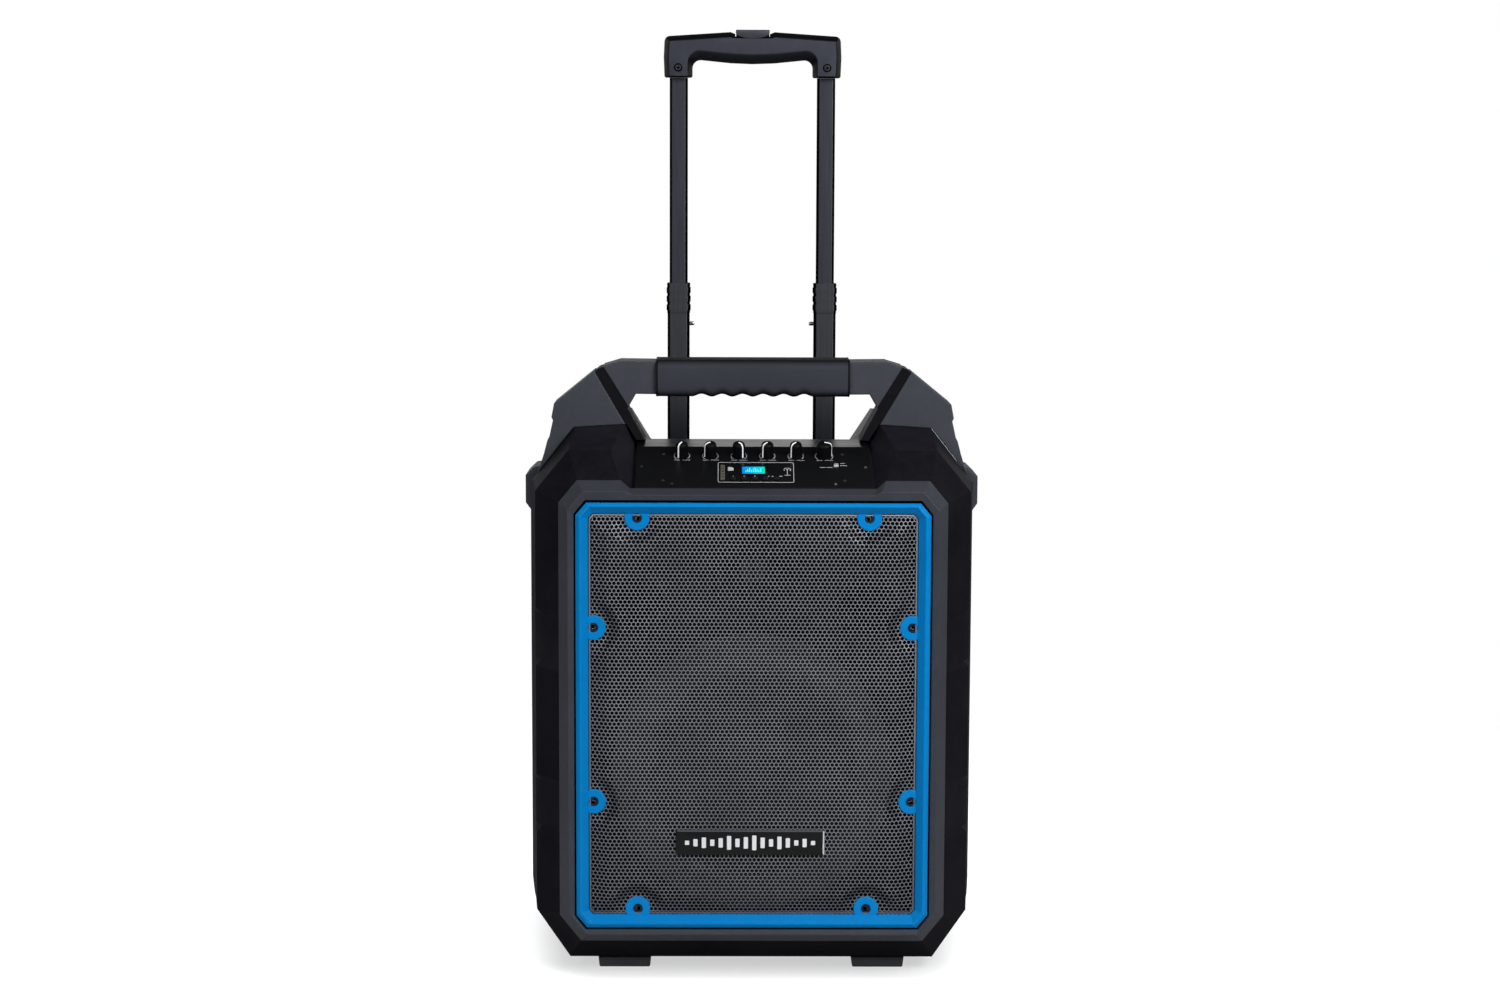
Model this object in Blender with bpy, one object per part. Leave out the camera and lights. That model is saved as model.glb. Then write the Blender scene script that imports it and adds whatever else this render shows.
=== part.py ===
"""Trolley party speaker: faceted cabinet, perforated front grille, ten-inch woofer,
tilted control panel, carry handle, three-section telescopic trolley, rear wheels.

Frame: +Z up, the front faces -Y, +X to the right of someone looking at the front.
The origin is on the floor, in the middle of the outline.  Lengths are in millimetres
and are turned into metres when a mesh is made.
"""
import bpy
import bmesh
import math
from mathutils import Vector

MM = 0.001
GAP = 0.3                      # clearance between neighbouring pieces
SIDES = ((-1, "left"), (1, "right"))
ALONG_X, ALONG_Y, ALONG_Z = 0, 1, 2
FRONT = (0, -1, 0)

# ---- cabinet ----
HALF_W = 216.0                 # side walls at the joint between the shells
Z_BOTTOM = 10.0                # underside of the cabinet
Z_TOP = 512.2                  # outer end of the shoulders
RISE = 3.0                     # the shoulders climb this much towards the middle
Y_FRONT = -141.0               # baffle face
Y_CREASE = -108.0              # widest line of the sloped front ring
Y_SPLIT = 20.0                 # joint between front and rear shell
Y_REAR = 152.0                 # rear wall
WALL = 5.0
LEDGE_Z = 478.0                # floor of the trolley bay
BAY_Y = -25.0                  # front end of the trolley bay
WELL_X, WELL_Y, WELL_Z = 183.5, 76.0, 76.0     # wheel wells
STEP = 0.2                     # length in Y over which a section changes abruptly
SEAT_Y = Y_FRONT - GAP         # back of the pieces seated on the baffle
SEAT = -SEAT_Y                 # the same place, as a height along FRONT
# ---- front face ----
BEZEL_HW, BEZEL_ZB, BEZEL_ZT = 179.6, 38.3, 472.6
BEZEL_CREST_Y = -155.0
TRIM_HW, TRIM_ZB, TRIM_ZT = 163.7, 53.2, 454.6
TRIM_IN_HW, TRIM_IN_ZB, TRIM_IN_ZT = 152.2, 65.0, 442.6
TRIM_CREST_INSET = 3.2
TAB_R, TAB_HOLE_R = 12.2, 2.2
TABS = [(107.0, 438.2), (147.5, 336.2), (147.5, 172.4), (106.5, 70.5)]   # (x, z), right half
TAB_CENTRES = [(side * x, 0, z) for x, z in TABS for side in (-1, 1)]
SCREW_Y = -147.6               # seat of the screw heads
GRILLE_Y = -154.5              # crown of the grille
GRILLE_T = 1.4
# ---- drivers ----
WOOFER_Z, WOOFER_R, WOOFER_CUT_R = 199.3, 130.0, 113.0
HORN_Z, HORN_R, HORN_CUT_R = 383.4, 44.0, 38.5
PORT_X, PORT_Z, PORT_R = 105.5, 356.5, 27.0
# ---- control panel ----
PANEL_Y0, PANEL_Z0 = -138.0, 465.5             # front edge of the slope
PANEL_RUN, PANEL_RISE = 68.0, 31.0
PANEL_HW = 109.6
DECK_Y = -25.3                 # rear end of the deck behind the slope
BUTTON_X = [-18.6, -8.6, 1.6, 11.4, 21.5]
BUTTON_S = 13.6                # distance up the slope
KNOB_S, KNOB_H, KNOB_R = 57.4, 15.0, 5.6
KNOB_X = [-66.7, -40.0, -13.3, 13.4, 40.1, 66.8]
LAST_KNOB_EXTRA_R = 1.3
# ---- rear panel ----
ROCKER_X, ROCKER_Y, ROCKER_Z = 50.0, 153.0, 205.0
# ---- carry handle ----
ARCH_Y0, ARCH_Y1 = -50.0, -6.0
ARCH_BEVEL = 1.2
GRIP_HW = 91.3
GRIP_LOW, GRIP_TOP = 542.0, 577.0
RIB_PITCH, RIB_COUNT, RIB_HW = 19.5, 5, 4.5
RIB_LOW, GROOVE_LOW = 541.8, 544.3             # underside of ribs and of grooves
# ---- trolley ----
TUBE_X, TUBE_Y = 73.2, 115.0
INNER_W, INNER_D = 18.0, 13.0
MID_W, MID_D = 22.0, 17.0
OUT_W, OUT_D = 26.0, 21.0
TUBE_T = 1.5
SLIDE = 0.4                    # clearance on each side of a sliding tube
INNER_BOTTOM, MID_BOTTOM = 590.0, 448.0
OUTER_BOTTOM, OUTER_TOP = 215.0, 480.5
COLLAR_TOP = 642.7
COLLAR_EXTRA = 1.2             # the collar is this much wider and deeper
PIN_X, PIN_Z, PIN_R = 57.4, 602.0, 2.0
TGRIP_HW, TGRIP_Z0 = 87.4, 846.0
RELEASE_Z0 = 880.6
# ---- wheels and feet ----
WHEEL_X, WHEEL_Y, WHEEL_R = 199.0, 117.0, 35.0
AXLE_R, AXLE_HW = 5.0, 213.0
FOOT_X, FOOT_Y, FOOT_HW, FOOT_HD = 120.6, -77.0, 24.4, 21.0
# ---- colours shared by several pieces ----
BLACK = (0.010, 0.010, 0.012)
CHARCOAL = (0.045, 0.050, 0.060)
STEEL = (0.55, 0.55, 0.56)


# =============================== mesh helpers ===============================
def paint(piece, color, roughness, metallic=0.0, glow=None):
    """Give a piece its own material, which carries the name of the piece."""
    mat = bpy.data.materials.new(piece.name)
    mat.use_nodes = True
    inputs = mat.node_tree.nodes["Principled BSDF"].inputs
    inputs["Base Color"].default_value = (*color, 1.0)
    inputs["Roughness"].default_value = roughness
    inputs["Metallic"].default_value = metallic
    if glow:
        inputs["Emission Color"].default_value = (*glow, 1.0)
        inputs["Emission Strength"].default_value = 1.0
    mat.diffuse_color = (*color, 1.0)
    piece.data.materials.append(mat)


def add_mesh(name, points, faces, origin=(0, 0, 0), smooth_angle=0):
    """Make an object; above zero, smooth_angle (degrees) shades smooth up to that angle."""
    bm = bmesh.new()
    base = Vector(origin)
    verts = [bm.verts.new((Vector(point) - base) * MM) for point in points]
    for face in faces:
        bm.faces.new([verts[i] for i in face])
    bmesh.ops.recalc_face_normals(bm, faces=bm.faces[:])
    if smooth_angle:
        for face in bm.faces:
            face.smooth = True
        limit = math.radians(smooth_angle)
        for edge in bm.edges:
            if len(edge.link_faces) == 2 and edge.calc_face_angle(0.0) > limit:
                edge.smooth = False
    mesh = bpy.data.meshes.new(name)
    bm.to_mesh(mesh)
    bm.free()
    piece = bpy.data.objects.new(name, mesh)
    bpy.context.scene.collection.objects.link(piece)
    piece.location = base * MM
    return piece


def loft(name, rings, origin=(0, 0, 0), cyclic=False):
    """Skin equal rings; cyclic joins the last to the first, otherwise both ends are capped."""
    size, count = len(rings[0]), len(rings)
    faces = []
    for i in range(count if cyclic else count - 1):
        a, b = i * size, ((i + 1) % count) * size
        for k in range(size):
            j = (k + 1) % size
            faces.append((a + k, a + j, b + j, b + k))
    if not cyclic:
        faces.append(tuple(range(size))[::-1])
        faces.append(tuple(range((count - 1) * size, count * size)))
    return add_mesh(name, [point for ring in rings for point in ring], faces, origin)


def ring_at(axis, level, outline):
    """Place a flat outline at a level of an axis; its columns are the other two axes."""
    return [(*point[:axis], level, *point[axis:]) for point in outline]


def reflect(points):
    """Mirror points across x = 0, keeping the turning direction."""
    return [(-x, other) for x, other in reversed(points)]


def inset(outline, distance):
    """Move every edge of a counter-clockwise polygon inward."""
    moved = []
    for i, point in enumerate(outline):
        before, here = Vector(outline[i - 1]), Vector(point)
        after = Vector(outline[(i + 1) % len(outline)])
        edge_in, edge_out = (here - before).normalized(), (after - here).normalized()
        normal_in = Vector((-edge_in.y, edge_in.x))
        normal_out = Vector((-edge_out.y, edge_out.x))
        shift = (normal_in + normal_out) * (distance / (1.0 + normal_in.dot(normal_out)))
        moved.append(tuple(here + shift))
    return moved


def prism(name, axis, outline, stations, origin=(0, 0, 0)):
    """Extrude an outline along an axis; stations are (level, inset)."""
    rings = [ring_at(axis, level, inset(outline, distance)) for level, distance in stations]
    return loft(name, rings, origin)


def rect(x0, x1, y0, y1, chamfer=0.0):
    if chamfer <= 0:
        return [(x0, y0), (x1, y0), (x1, y1), (x0, y1)]
    c = chamfer
    return [(x0 + c, y0), (x1 - c, y0), (x1, y0 + c), (x1, y1 - c),
            (x1 - c, y1), (x0 + c, y1), (x0, y1 - c), (x0, y0 + c)]


def box(name, x0, x1, y0, y1, z0, z1, chamfer=0.0):
    return prism(name, ALONG_Z, rect(x0, x1, y0, y1, chamfer), [(z0, 0), (z1, 0)])


def lathe(name, profile, centres, axis, segments, origin=None, phase=0.0, smooth_angle=35):
    """Revolve (radius, height) points about each centre; radius 0 ends on the axis."""
    normal = Vector(axis).normalized()
    reference = Vector((0, 0, 1)) if abs(normal.z) < 0.9 else Vector((0, 1, 0))
    across = normal.cross(reference).normalized()
    up = normal.cross(across)
    points, faces = [], []
    for centre in centres:
        rows = []
        for radius, height in profile:
            middle = Vector(centre) + normal * height
            start = len(points)
            if radius == 0:
                points.append(middle)
            else:
                for k in range(segments):
                    angle = phase + 2 * math.pi * k / segments
                    spoke = across * math.cos(angle) + up * math.sin(angle)
                    points.append(middle + spoke * radius)
            rows.append(range(start, len(points)))
        closed = len(rows[0]) > 1 and len(rows[-1]) > 1
        for i in range(len(rows) if closed else len(rows) - 1):
            a, b = rows[i], rows[(i + 1) % len(rows)]
            for k in range(segments):
                j = (k + 1) % segments
                if len(a) == 1:
                    faces.append((a[0], b[j], b[k]))
                elif len(b) == 1:
                    faces.append((a[k], a[j], b[0]))
                else:
                    faces.append((a[k], a[j], b[j], b[k]))
    return add_mesh(name, points, faces, origin or centres[0], smooth_angle)


def front_lathe(name, profile, x, z, origin_y, segments, **options):
    """Lathe about an axis through (x, z) facing the front; heights run from y = 0 to -Y."""
    return lathe(name, profile, [(x, 0, z)], FRONT, segments, (x, origin_y, z), **options)


def cylinder(name, radius, centres, axis, start, end, segments):
    profile = [(0, start), (radius, start), (radius, end), (0, end)]
    return lathe(name, profile, centres, axis, segments)


def boolean(piece, tool, operation='DIFFERENCE'):
    tool.hide_render = True
    tool.display_type = 'WIRE'
    modifier = piece.modifiers.new(operation.lower(), 'BOOLEAN')
    modifier.operation = operation
    modifier.solver = 'EXACT'
    modifier.object = tool


# =============================== cabinet shells =============================
def cabinet_ring(y, half_width, z_bottom, z_top, low, high, bay, rise=RISE, well=None):
    """Section of the cabinet at y.

    low, high: (x, z) size of the bottom and top corner facets
    bay: half width at the rim, half width at the floor, floor height of the top recess
    well: (x, z) inner corner of a wheel well, which replaces the low facet
    """
    if well:
        well_x, well_z = well
        right = [(well_x, z_bottom), (well_x, well_z), (half_width, well_z)]
    else:
        right = [(half_width - low[0], z_bottom),
                 (half_width - low[0] / 2, z_bottom + low[1] / 2),
                 (half_width, z_bottom + low[1])]
    rim_x, floor_x, floor_z = bay
    right += [(half_width, z_top - high[1]), (half_width - high[0], z_top),
              (rim_x, z_top + rise), (floor_x, floor_z)]
    return ring_at(ALONG_Y, y, right + reflect(right))


BAY = (121.0, 98.3, LEDGE_Z)
BAY_IN = (127.0, 104.0, LEDGE_Z - WALL - 0.5)
# Section at the joint, outside and inside: the arguments of cabinet_ring after y
BODY = (HALF_W, Z_BOTTOM, Z_TOP, (44.2, 50.0), (46.3, 58.9), BAY)
BODY_IN = (HALF_W - WALL, Z_BOTTOM + WALL, Z_TOP - WALL, (43.2, 48.0), (44.0, 56.4), BAY_IN)


def build_front_shell():
    ring, bottom, inside, top = cabinet_ring, Z_BOTTOM, Z_BOTTOM + WALL, Z_TOP - WALL
    outer = [
        ring(Y_FRONT, 178.8, 39.2, 472.2, (19.5, 24.5), (17.0, 20.8), (122.2, 113.0, 459.2), 0),
        ring(Y_CREASE, 203.3, 13.2, 497.0, (31.5, 46.0), (31.5, 38.4), (132.6, 112.4, 474.2), 0),
        ring(-96.0, 204.4, bottom, 500.4, (32.6, 49.4), (32.9, 41.0), (130.0, 112.2, 479.6), 0.6),
        ring(-69.5, 206.8, bottom, 507.2, (35.0, 49.8), (36.5, 46.3), (125.5, 111.6, 491.6), 1.9),
        ring(ARCH_Y0, 209.2, bottom, Z_TOP, (37.4, 50.0), (39.5, 50.1), (121.0, 111.6, 493.0)),
        ring(BAY_Y, 211.8, bottom, Z_TOP, (40.0, 50.0), (42.1, 53.5), (121.0, 111.6, 494.7)),
        ring(BAY_Y + STEP, 211.8, bottom, Z_TOP, (40.0, 50.0), (42.1, 53.5), BAY),
        ring(Y_SPLIT, *BODY),
    ]
    inner = [
        ring(Y_SPLIT, *BODY_IN),
        ring(-30.2, 206.3, inside, top, (39.0, 48.0), (39.4, 50.5), BAY_IN),
        ring(-30.4, 206.3, inside, top, (39.0, 48.0), (39.4, 50.5), (127.0, 117.5, 489.4)),
        ring(ARCH_Y0, 204.2, inside, 506.8, (36.7, 48.0), (37.3, 47.4), (127.5, 117.5, 487.8)),
        ring(-69.5, 201.8, inside, 501.6, (34.2, 48.0), (34.2, 43.5), (132.0, 117.8, 485.8), 1.9),
        ring(-95.0, 199.4, 15.5, 493.6, (31.8, 47.6), (31.0, 38.8), (136.5, 118.4, 473.6), 0.6),
        ring(-107.0, 195.0, 20.0, 489.2, (28.7, 43.0), (28.0, 34.0), (139.0, 118.8, 468.0), 0),
        ring(-133.0, 175.5, 41.0, 470.0, (19.5, 24.0), (16.5, 20.0), (131.0, 120.0, 455.8), 0),
    ]
    shell = loft("cabinet_front_shell", outer + inner)
    paint(shell, BLACK, roughness=0.45)
    ports = [(-PORT_X, 0, PORT_Z), (PORT_X, 0, PORT_Z)]
    for name, radius, centres, segments in (
            ("cut_woofer", WOOFER_CUT_R, [(0, 0, WOOFER_Z)], 48),
            ("cut_small", HORN_CUT_R, [(0, 0, HORN_Z)], 24),
            ("cut_ports", PORT_R + 0.4, ports, 24)):
        boolean(shell, cylinder(name, radius, centres, FRONT, 125, 150, segments))


# (x, z) outline of the bumper on the left wall
BUMPER = [(-221.4, 431.4), (-221.4, 458.4), (-213.5, 466.0), (-203.0, 467.6),
          (-211.0, 456.5), (-210.8, 424.2), (-216.2, 424.2)]


def guide_keyhole():
    """Passage for the right guide tube, with a lock pin relief on the inward side."""
    half_w, half_d = OUT_W / 2 + SLIDE, OUT_D / 2 + SLIDE
    relief_depth, relief_hw = 5.0, 2.8
    wall_x = TUBE_X - half_w
    return rect(wall_x, TUBE_X + half_w, TUBE_Y - half_d, TUBE_Y + half_d) + [
        (wall_x, TUBE_Y + relief_hw), (wall_x - relief_depth, TUBE_Y + relief_hw),
        (wall_x - relief_depth, TUBE_Y - relief_hw), (wall_x, TUBE_Y - relief_hw)]


def build_rear_shell():
    mouth_y = Y_SPLIT + GAP
    well = (WELL_X, WELL_Z)
    well_in = (WELL_X - WALL, WELL_Z + WALL)
    inner = [
        cabinet_ring(Y_REAR - WALL, 197.0, 28.0, 495.5, None, (37.0, 48.0), BAY_IN, well=well_in),
        cabinet_ring(133.0, *BODY_IN, well=well_in),
        cabinet_ring(WELL_Y - WALL + STEP, *BODY_IN, well=well_in),
        cabinet_ring(WELL_Y - WALL, *BODY_IN),
        cabinet_ring(mouth_y, *BODY_IN),
    ]
    outer = [
        cabinet_ring(mouth_y, *BODY),
        cabinet_ring(WELL_Y, *BODY),
        cabinet_ring(WELL_Y + STEP, *BODY, well=well),
        cabinet_ring(136.0, *BODY, well=well),
        cabinet_ring(Y_REAR, 203.0, 22.0, 501.0, None, (40.0, 51.0), BAY, well=well),
    ]
    shell = loft("cabinet_rear_shell", inner + outer)
    paint(shell, CHARCOAL, roughness=0.5)
    for tag, outline in (("a", reflect(BUMPER)), ("b", BUMPER)):
        rings = [ring_at(ALONG_Y, y, outline) for y in (24.0, 84.0)]
        boolean(shell, loft("add_bumper_" + tag, rings), 'UNION')
    keyhole = guide_keyhole()
    for tag, outline in (("l", reflect(keyhole)), ("r", keyhole)):
        boolean(shell, prism("cut_guide_" + tag, ALONG_Z, outline, [(465, 0), (485, 0)]))
    boolean(shell, box("cut_io", -70, 70, 140, 160, 125, 225))
    boolean(shell, cylinder("cut_axle", AXLE_R + 0.4, [(0, WHEEL_Y, WHEEL_R)], (1, 0, 0),
                            -190, 190, 20))


# =============================== front face =================================
def face_outline(half_width, z_bottom, z_top, low, high=None, notch=None):
    """Chamfered (x, z) outline; low and high are corner sizes, high defaults to low.

    notch: half width at the rim, half width at the floor, floor height of a top notch
    """
    high = high or low
    right = [(half_width - low[0], z_bottom), (half_width, z_bottom + low[1]),
             (half_width, z_top - high[1]), (half_width - high[0], z_top)]
    if notch:
        rim_x, floor_x, floor_z = notch
        right += [(rim_x, z_top), (floor_x, floor_z)]
    return right + reflect(right)


def build_bezel():
    outside = face_outline(BEZEL_HW, BEZEL_ZB, BEZEL_ZT, (19.8, 24.9), (17.1, 20.8),
                           (122.0, 113.6, 465.2))
    crest = face_outline(170.8, 47.0, 463.6, (17.4, 21.5), (14.6, 17.6), (117.6, 111.4, 460.4))
    inside = face_outline(TRIM_HW + 1.0, TRIM_ZB - 1.0, TRIM_ZT + 1.0, (10.2, 12.6),
                          (10.4, 12.8), (117.0, 111.0, TRIM_ZT + 1.0))
    rings = [ring_at(ALONG_Y, y, outline) for y, outline in (
        (SEAT_Y, outside), (-143.5, outside), (BEZEL_CREST_Y, crest),
        (-153.2, inside), (SEAT_Y, inside))]
    paint(loft("front_bezel", rings, cyclic=True), CHARCOAL, roughness=0.42)


def build_trim():
    outside = face_outline(TRIM_HW, TRIM_ZB, TRIM_ZT, (9.9, 12.2))
    crest = face_outline(TRIM_HW - TRIM_CREST_INSET, TRIM_ZB + TRIM_CREST_INSET,
                         TRIM_ZT - TRIM_CREST_INSET, (8.6, 10.6))
    inside = face_outline(TRIM_IN_HW, TRIM_IN_ZB, TRIM_IN_ZT, (4.0, 4.6))
    rings = [ring_at(ALONG_Y, y, outline) for y, outline in (
        (SEAT_Y, outside), (-152.6, outside), (-155.0, crest), (-148.2, inside),
        (SEAT_Y, inside))]
    trim = loft("trim_frame", rings, cyclic=True)
    paint(trim, (0.0, 0.18, 0.50), roughness=0.3)
    boolean(trim, cylinder("add_tabs", TAB_R, TAB_CENTRES, FRONT, 141.5, 147.3, 20), 'UNION')
    boolean(trim, cylinder("cut_tabs", TAB_HOLE_R, TAB_CENTRES, FRONT, 139.0, 150.0, 10))


# Grille sections: y, half width, z bottom, z top, corner (x, z)
GRILLE_INNER = [                               # crown to rim
    (GRILLE_Y + GRILLE_T, 130.5, 86.5, 420.5, (9.8, 10.8)),
    (-153.7 + GRILLE_T, 137.3, 79.7, 427.3, (8.2, 8.7)),
    (-151.2 + GRILLE_T, 143.5, 73.6, 433.8, (6.2, 6.7)),
    (-147.4 + GRILLE_T, 150.3, 66.9, 440.7, (3.3, 3.9)),
    (-141.6, 150.3, 66.9, 440.7, (3.3, 3.9)),
]
GRILLE_OUTER = [                               # rim to crown
    (-141.6, 151.7, 65.5, 442.1, (3.8, 4.4)),
    (-147.4, 151.7, 65.5, 442.1, (3.8, 4.4)),
    (-151.2, 144.5, 72.6, 434.8, (6.5, 7.0)),
    (-153.7, 138.0, 79.0, 428.0, (8.5, 9.0)),
    (GRILLE_Y, 131.0, 86.0, 421.0, (10.0, 11.0)),
]


def build_grille():
    rings = [ring_at(ALONG_Y, y, face_outline(*size))
             for y, *size in GRILLE_INNER + GRILLE_OUTER]
    grille = loft("speaker_grille", rings)
    paint(grille, (0.02, 0.02, 0.022), roughness=0.5, metallic=0.3)
    boolean(grille, cylinder("cut_grille", TAB_R + 0.5, TAB_CENTRES, FRONT, 138.0, 158.0, 20))


def build_badge():
    rings = [ring_at(ALONG_Y, y, rect(-71.0 + d, 67.0 - d, 123.7 + d, 147.4 - d, 2.0))
             for y, d in ((GRILLE_Y - GAP, 0), (-156.2, 0), (-157.0, 0.8))]
    paint(loft("badge_plate", rings), BLACK, roughness=0.3)


def build_grille_screws():
    profile = [(0, 141.7), (1.8, 141.7), (1.8, -SCREW_Y), (4.2, -SCREW_Y), (4.2, 148.8),
               (3.0, 149.9), (0, 150.1)]
    for i, (x, _, z) in enumerate(TAB_CENTRES):
        screw = front_lathe("grille_screw_%d" % (i + 1), profile, x, z, SCREW_Y, 12)
        paint(screw, (0.03, 0.03, 0.03), roughness=0.35, metallic=0.8)


# =============================== drivers ====================================
# Profiles are (radius, distance in front of y = 0).
def build_woofer():
    basket = front_lathe(
        "woofer_basket",
        [(WOOFER_R, SEAT), (WOOFER_R, 144.3), (WOOFER_R - 1, 145.3), (108.0, 145.3),
         (107.0, 141.5), (104.0, 138.0), (66.0, 92.0), (64.0, 81.0), (28.6, 79.5), (28.6, 75.4),
         (66.0, 76.4), (69.5, 90.0), (107.5, 134.5), (112.0, SEAT)],
        0, WOOFER_Z, SEAT_Y, 40)
    paint(basket, (0.02, 0.02, 0.02), roughness=0.5, metallic=0.6)
    surround = front_lathe(
        "woofer_surround",
        [(117.6, 145.6), (117.6, 147.0), (112.5, 147.4), (109.0, 150.4), (104.0, 151.6),
         (99.6, 150.2), (96.6, 147.0), (96.6, 145.6), (100.5, 147.6), (104.0, 149.4),
         (107.5, 148.2), (109.5, 145.6)],
        0, WOOFER_Z, -145.6, 40)
    paint(surround, (0.015, 0.015, 0.015), roughness=0.8)
    cone = front_lathe(
        "woofer_cone",
        [(0, 124.5), (12.0, 123.6), (24.0, 120.6), (33.0, 115.6), (38.0, 115.0), (95.8, 146.6),
         (95.8, 144.8), (38.0, 112.6), (26.6, 110.6), (26.6, 76.0), (24.6, 76.0),
         (24.6, 111.5), (22.0, 118.4), (0, 122.4)],
        0, WOOFER_Z, -146.6, 36)
    paint(cone, (0.03, 0.03, 0.032), roughness=0.7)
    magnet = front_lathe(
        "woofer_magnet",
        [(0, 75.0), (22.8, 75.0), (22.8, 56.0), (28.4, 56.0), (28.4, 75.0), (64.0, 75.0),
         (64.0, 38.0), (0, 38.0)],
        0, WOOFER_Z, -75.0, 32)
    paint(magnet, (0.08, 0.08, 0.08), roughness=0.4, metallic=0.7)


def build_horn():
    flare = front_lathe(
        "horn_flare",
        [(HORN_R, SEAT), (HORN_R, 144.6), (41.0, 145.3), (33.0, 132.0), (22.0, 114.0),
         (12.5, 98.0), (17.0, 96.0), (26.0, 113.0), (36.5, 131.0), (38.0, SEAT)],
        0, HORN_Z, SEAT_Y, 8, phase=math.pi / 8, smooth_angle=0)
    paint(flare, BLACK, roughness=0.4)
    driver = front_lathe("horn_driver",
                         [(0, 95.7), (24.0, 95.7), (31.0, 88.0), (31.0, 60.0), (0, 60.0)],
                         0, HORN_Z, -95.7, 24)
    paint(driver, (0.10, 0.10, 0.11), roughness=0.4, metallic=0.7)


def build_ports():
    profile = [(PORT_R + 3.2, SEAT), (PORT_R + 3.2, 143.4), (PORT_R + 1.0, 144.2),
               (PORT_R - 1.2, 141.8), (PORT_R - 2.4, 136.0), (PORT_R - 2.4, 66.0),
               (PORT_R, 66.0), (PORT_R, SEAT)]
    for side, tag in SIDES:
        port = front_lathe("port_tube_" + tag, profile, side * PORT_X, PORT_Z, SEAT_Y, 20)
        paint(port, BLACK, roughness=0.5)


# =============================== control panel ==============================
SLOPE = math.atan2(PANEL_RISE, PANEL_RUN)
SLOPE_COS, SLOPE_SIN = math.cos(SLOPE), math.sin(SLOPE)
PANEL_NORMAL = (0, -SLOPE_SIN, SLOPE_COS)


def panel_point(x, up, height):
    """Point on the tilted panel: up is along the slope, height is above the surface."""
    return (x, PANEL_Y0 + up * SLOPE_COS - height * SLOPE_SIN,
            PANEL_Z0 + up * SLOPE_SIN + height * SLOPE_COS)


def panel_box(name, x0, x1, up0, up1, bottom, top, bevel, chamfer=0.0):
    """Box on the slope with a bevelled top edge and chamfered upright corners."""
    outline = rect(x0, x1, up0, up1, chamfer)
    rings = [[panel_point(x, up, height) for x, up in inset(outline, distance)]
             for height, distance in ((bottom, 0), (top - bevel, 0), (top, bevel))]
    return loft(name, rings, panel_point((x0 + x1) / 2, (up0 + up1) / 2, bottom))


def build_control_panel():
    y1, z1 = PANEL_Y0 + PANEL_RUN, PANEL_Z0 + PANEL_RISE
    profile = [(PANEL_Y0, PANEL_Z0), (PANEL_Y0 + 1.2, PANEL_Z0 - 3.8), (y1 + 1.2, z1 - 4.2),
               (DECK_Y, 495.5), (DECK_Y, 499.4), (y1, z1)]
    panel = loft("control_panel", [ring_at(ALONG_X, x, profile) for x in (-PANEL_HW, PANEL_HW)])
    paint(panel, BLACK, roughness=0.4)


def button_cutter():
    """One mesh of five boxes, a hole for each media button."""
    half_w, half_d = 2.8, 2.3
    box_faces = [(0, 1, 2, 3), (4, 5, 6, 7), (0, 1, 5, 4), (1, 2, 6, 5), (2, 3, 7, 6), (3, 0, 4, 7)]
    points, faces = [], []
    for centre_x in BUTTON_X:
        faces += [[len(points) + i for i in face] for face in box_faces]
        outline = rect(centre_x - half_w, centre_x + half_w, BUTTON_S - half_d, BUTTON_S + half_d)
        points += [panel_point(x, up, height) for height in (-0.5, 3.0) for x, up in outline]
    return add_mesh("cut_buttons", points, faces)


def build_panel_controls():
    module = panel_box("media_module", -32.9, 37.9, 7.6, 43.9, GAP, 1.0, bevel=0.3, chamfer=2.0)
    paint(module, BLACK, roughness=0.3)
    boolean(module, button_cutter())
    for i, x in enumerate(BUTTON_X):
        button = panel_box("media_button_%d" % (i + 1), x - 2.5, x + 2.5, BUTTON_S - 2.0,
                           BUTTON_S + 2.0, 1.4, 3.0, bevel=0.4, chamfer=0.6)
        paint(button, (0.05, 0.05, 0.055), roughness=0.4)
    window = panel_box("lcd_window", -10.3, 10.8, 22.1, 35.4, 1.3, 1.9, bevel=0.2)
    paint(window, (0.0, 0.45, 0.6), roughness=0.15, glow=(0.0, 0.5, 0.7))
    switch = panel_box("mode_switch", 75.4, 79.6, 37.2, 40.4, GAP, 1.6, bevel=0.3)
    paint(switch, (0.6, 0.6, 0.6), roughness=0.4)


def build_knobs():
    for i, x in enumerate(KNOB_X):
        r = KNOB_R + LAST_KNOB_EXTRA_R if x == KNOB_X[-1] else KNOB_R
        profile = [(0, GAP), (r, GAP), (r - 0.25, KNOB_H - 3.4), (r - 0.9, KNOB_H - 1.6),
                   (r - 2.3, KNOB_H - 0.5), (0, KNOB_H)]
        knob = lathe("knob_%d" % (i + 1), profile, [panel_point(x, KNOB_S, 0)], PANEL_NORMAL, 20)
        paint(knob, (0.02, 0.02, 0.022), roughness=0.45)


# =============================== inside and rear panel ======================
def build_inside():
    board = box("amplifier_board", -65, 65, 134.0, 136.0, 128, 222)
    paint(board, (0.01, 0.10, 0.03), roughness=0.5)
    battery = box("battery_pack", -75, 75, -5, 65, 16, 80, chamfer=4)
    paint(battery, (0.03, 0.03, 0.04), roughness=0.4)


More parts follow.
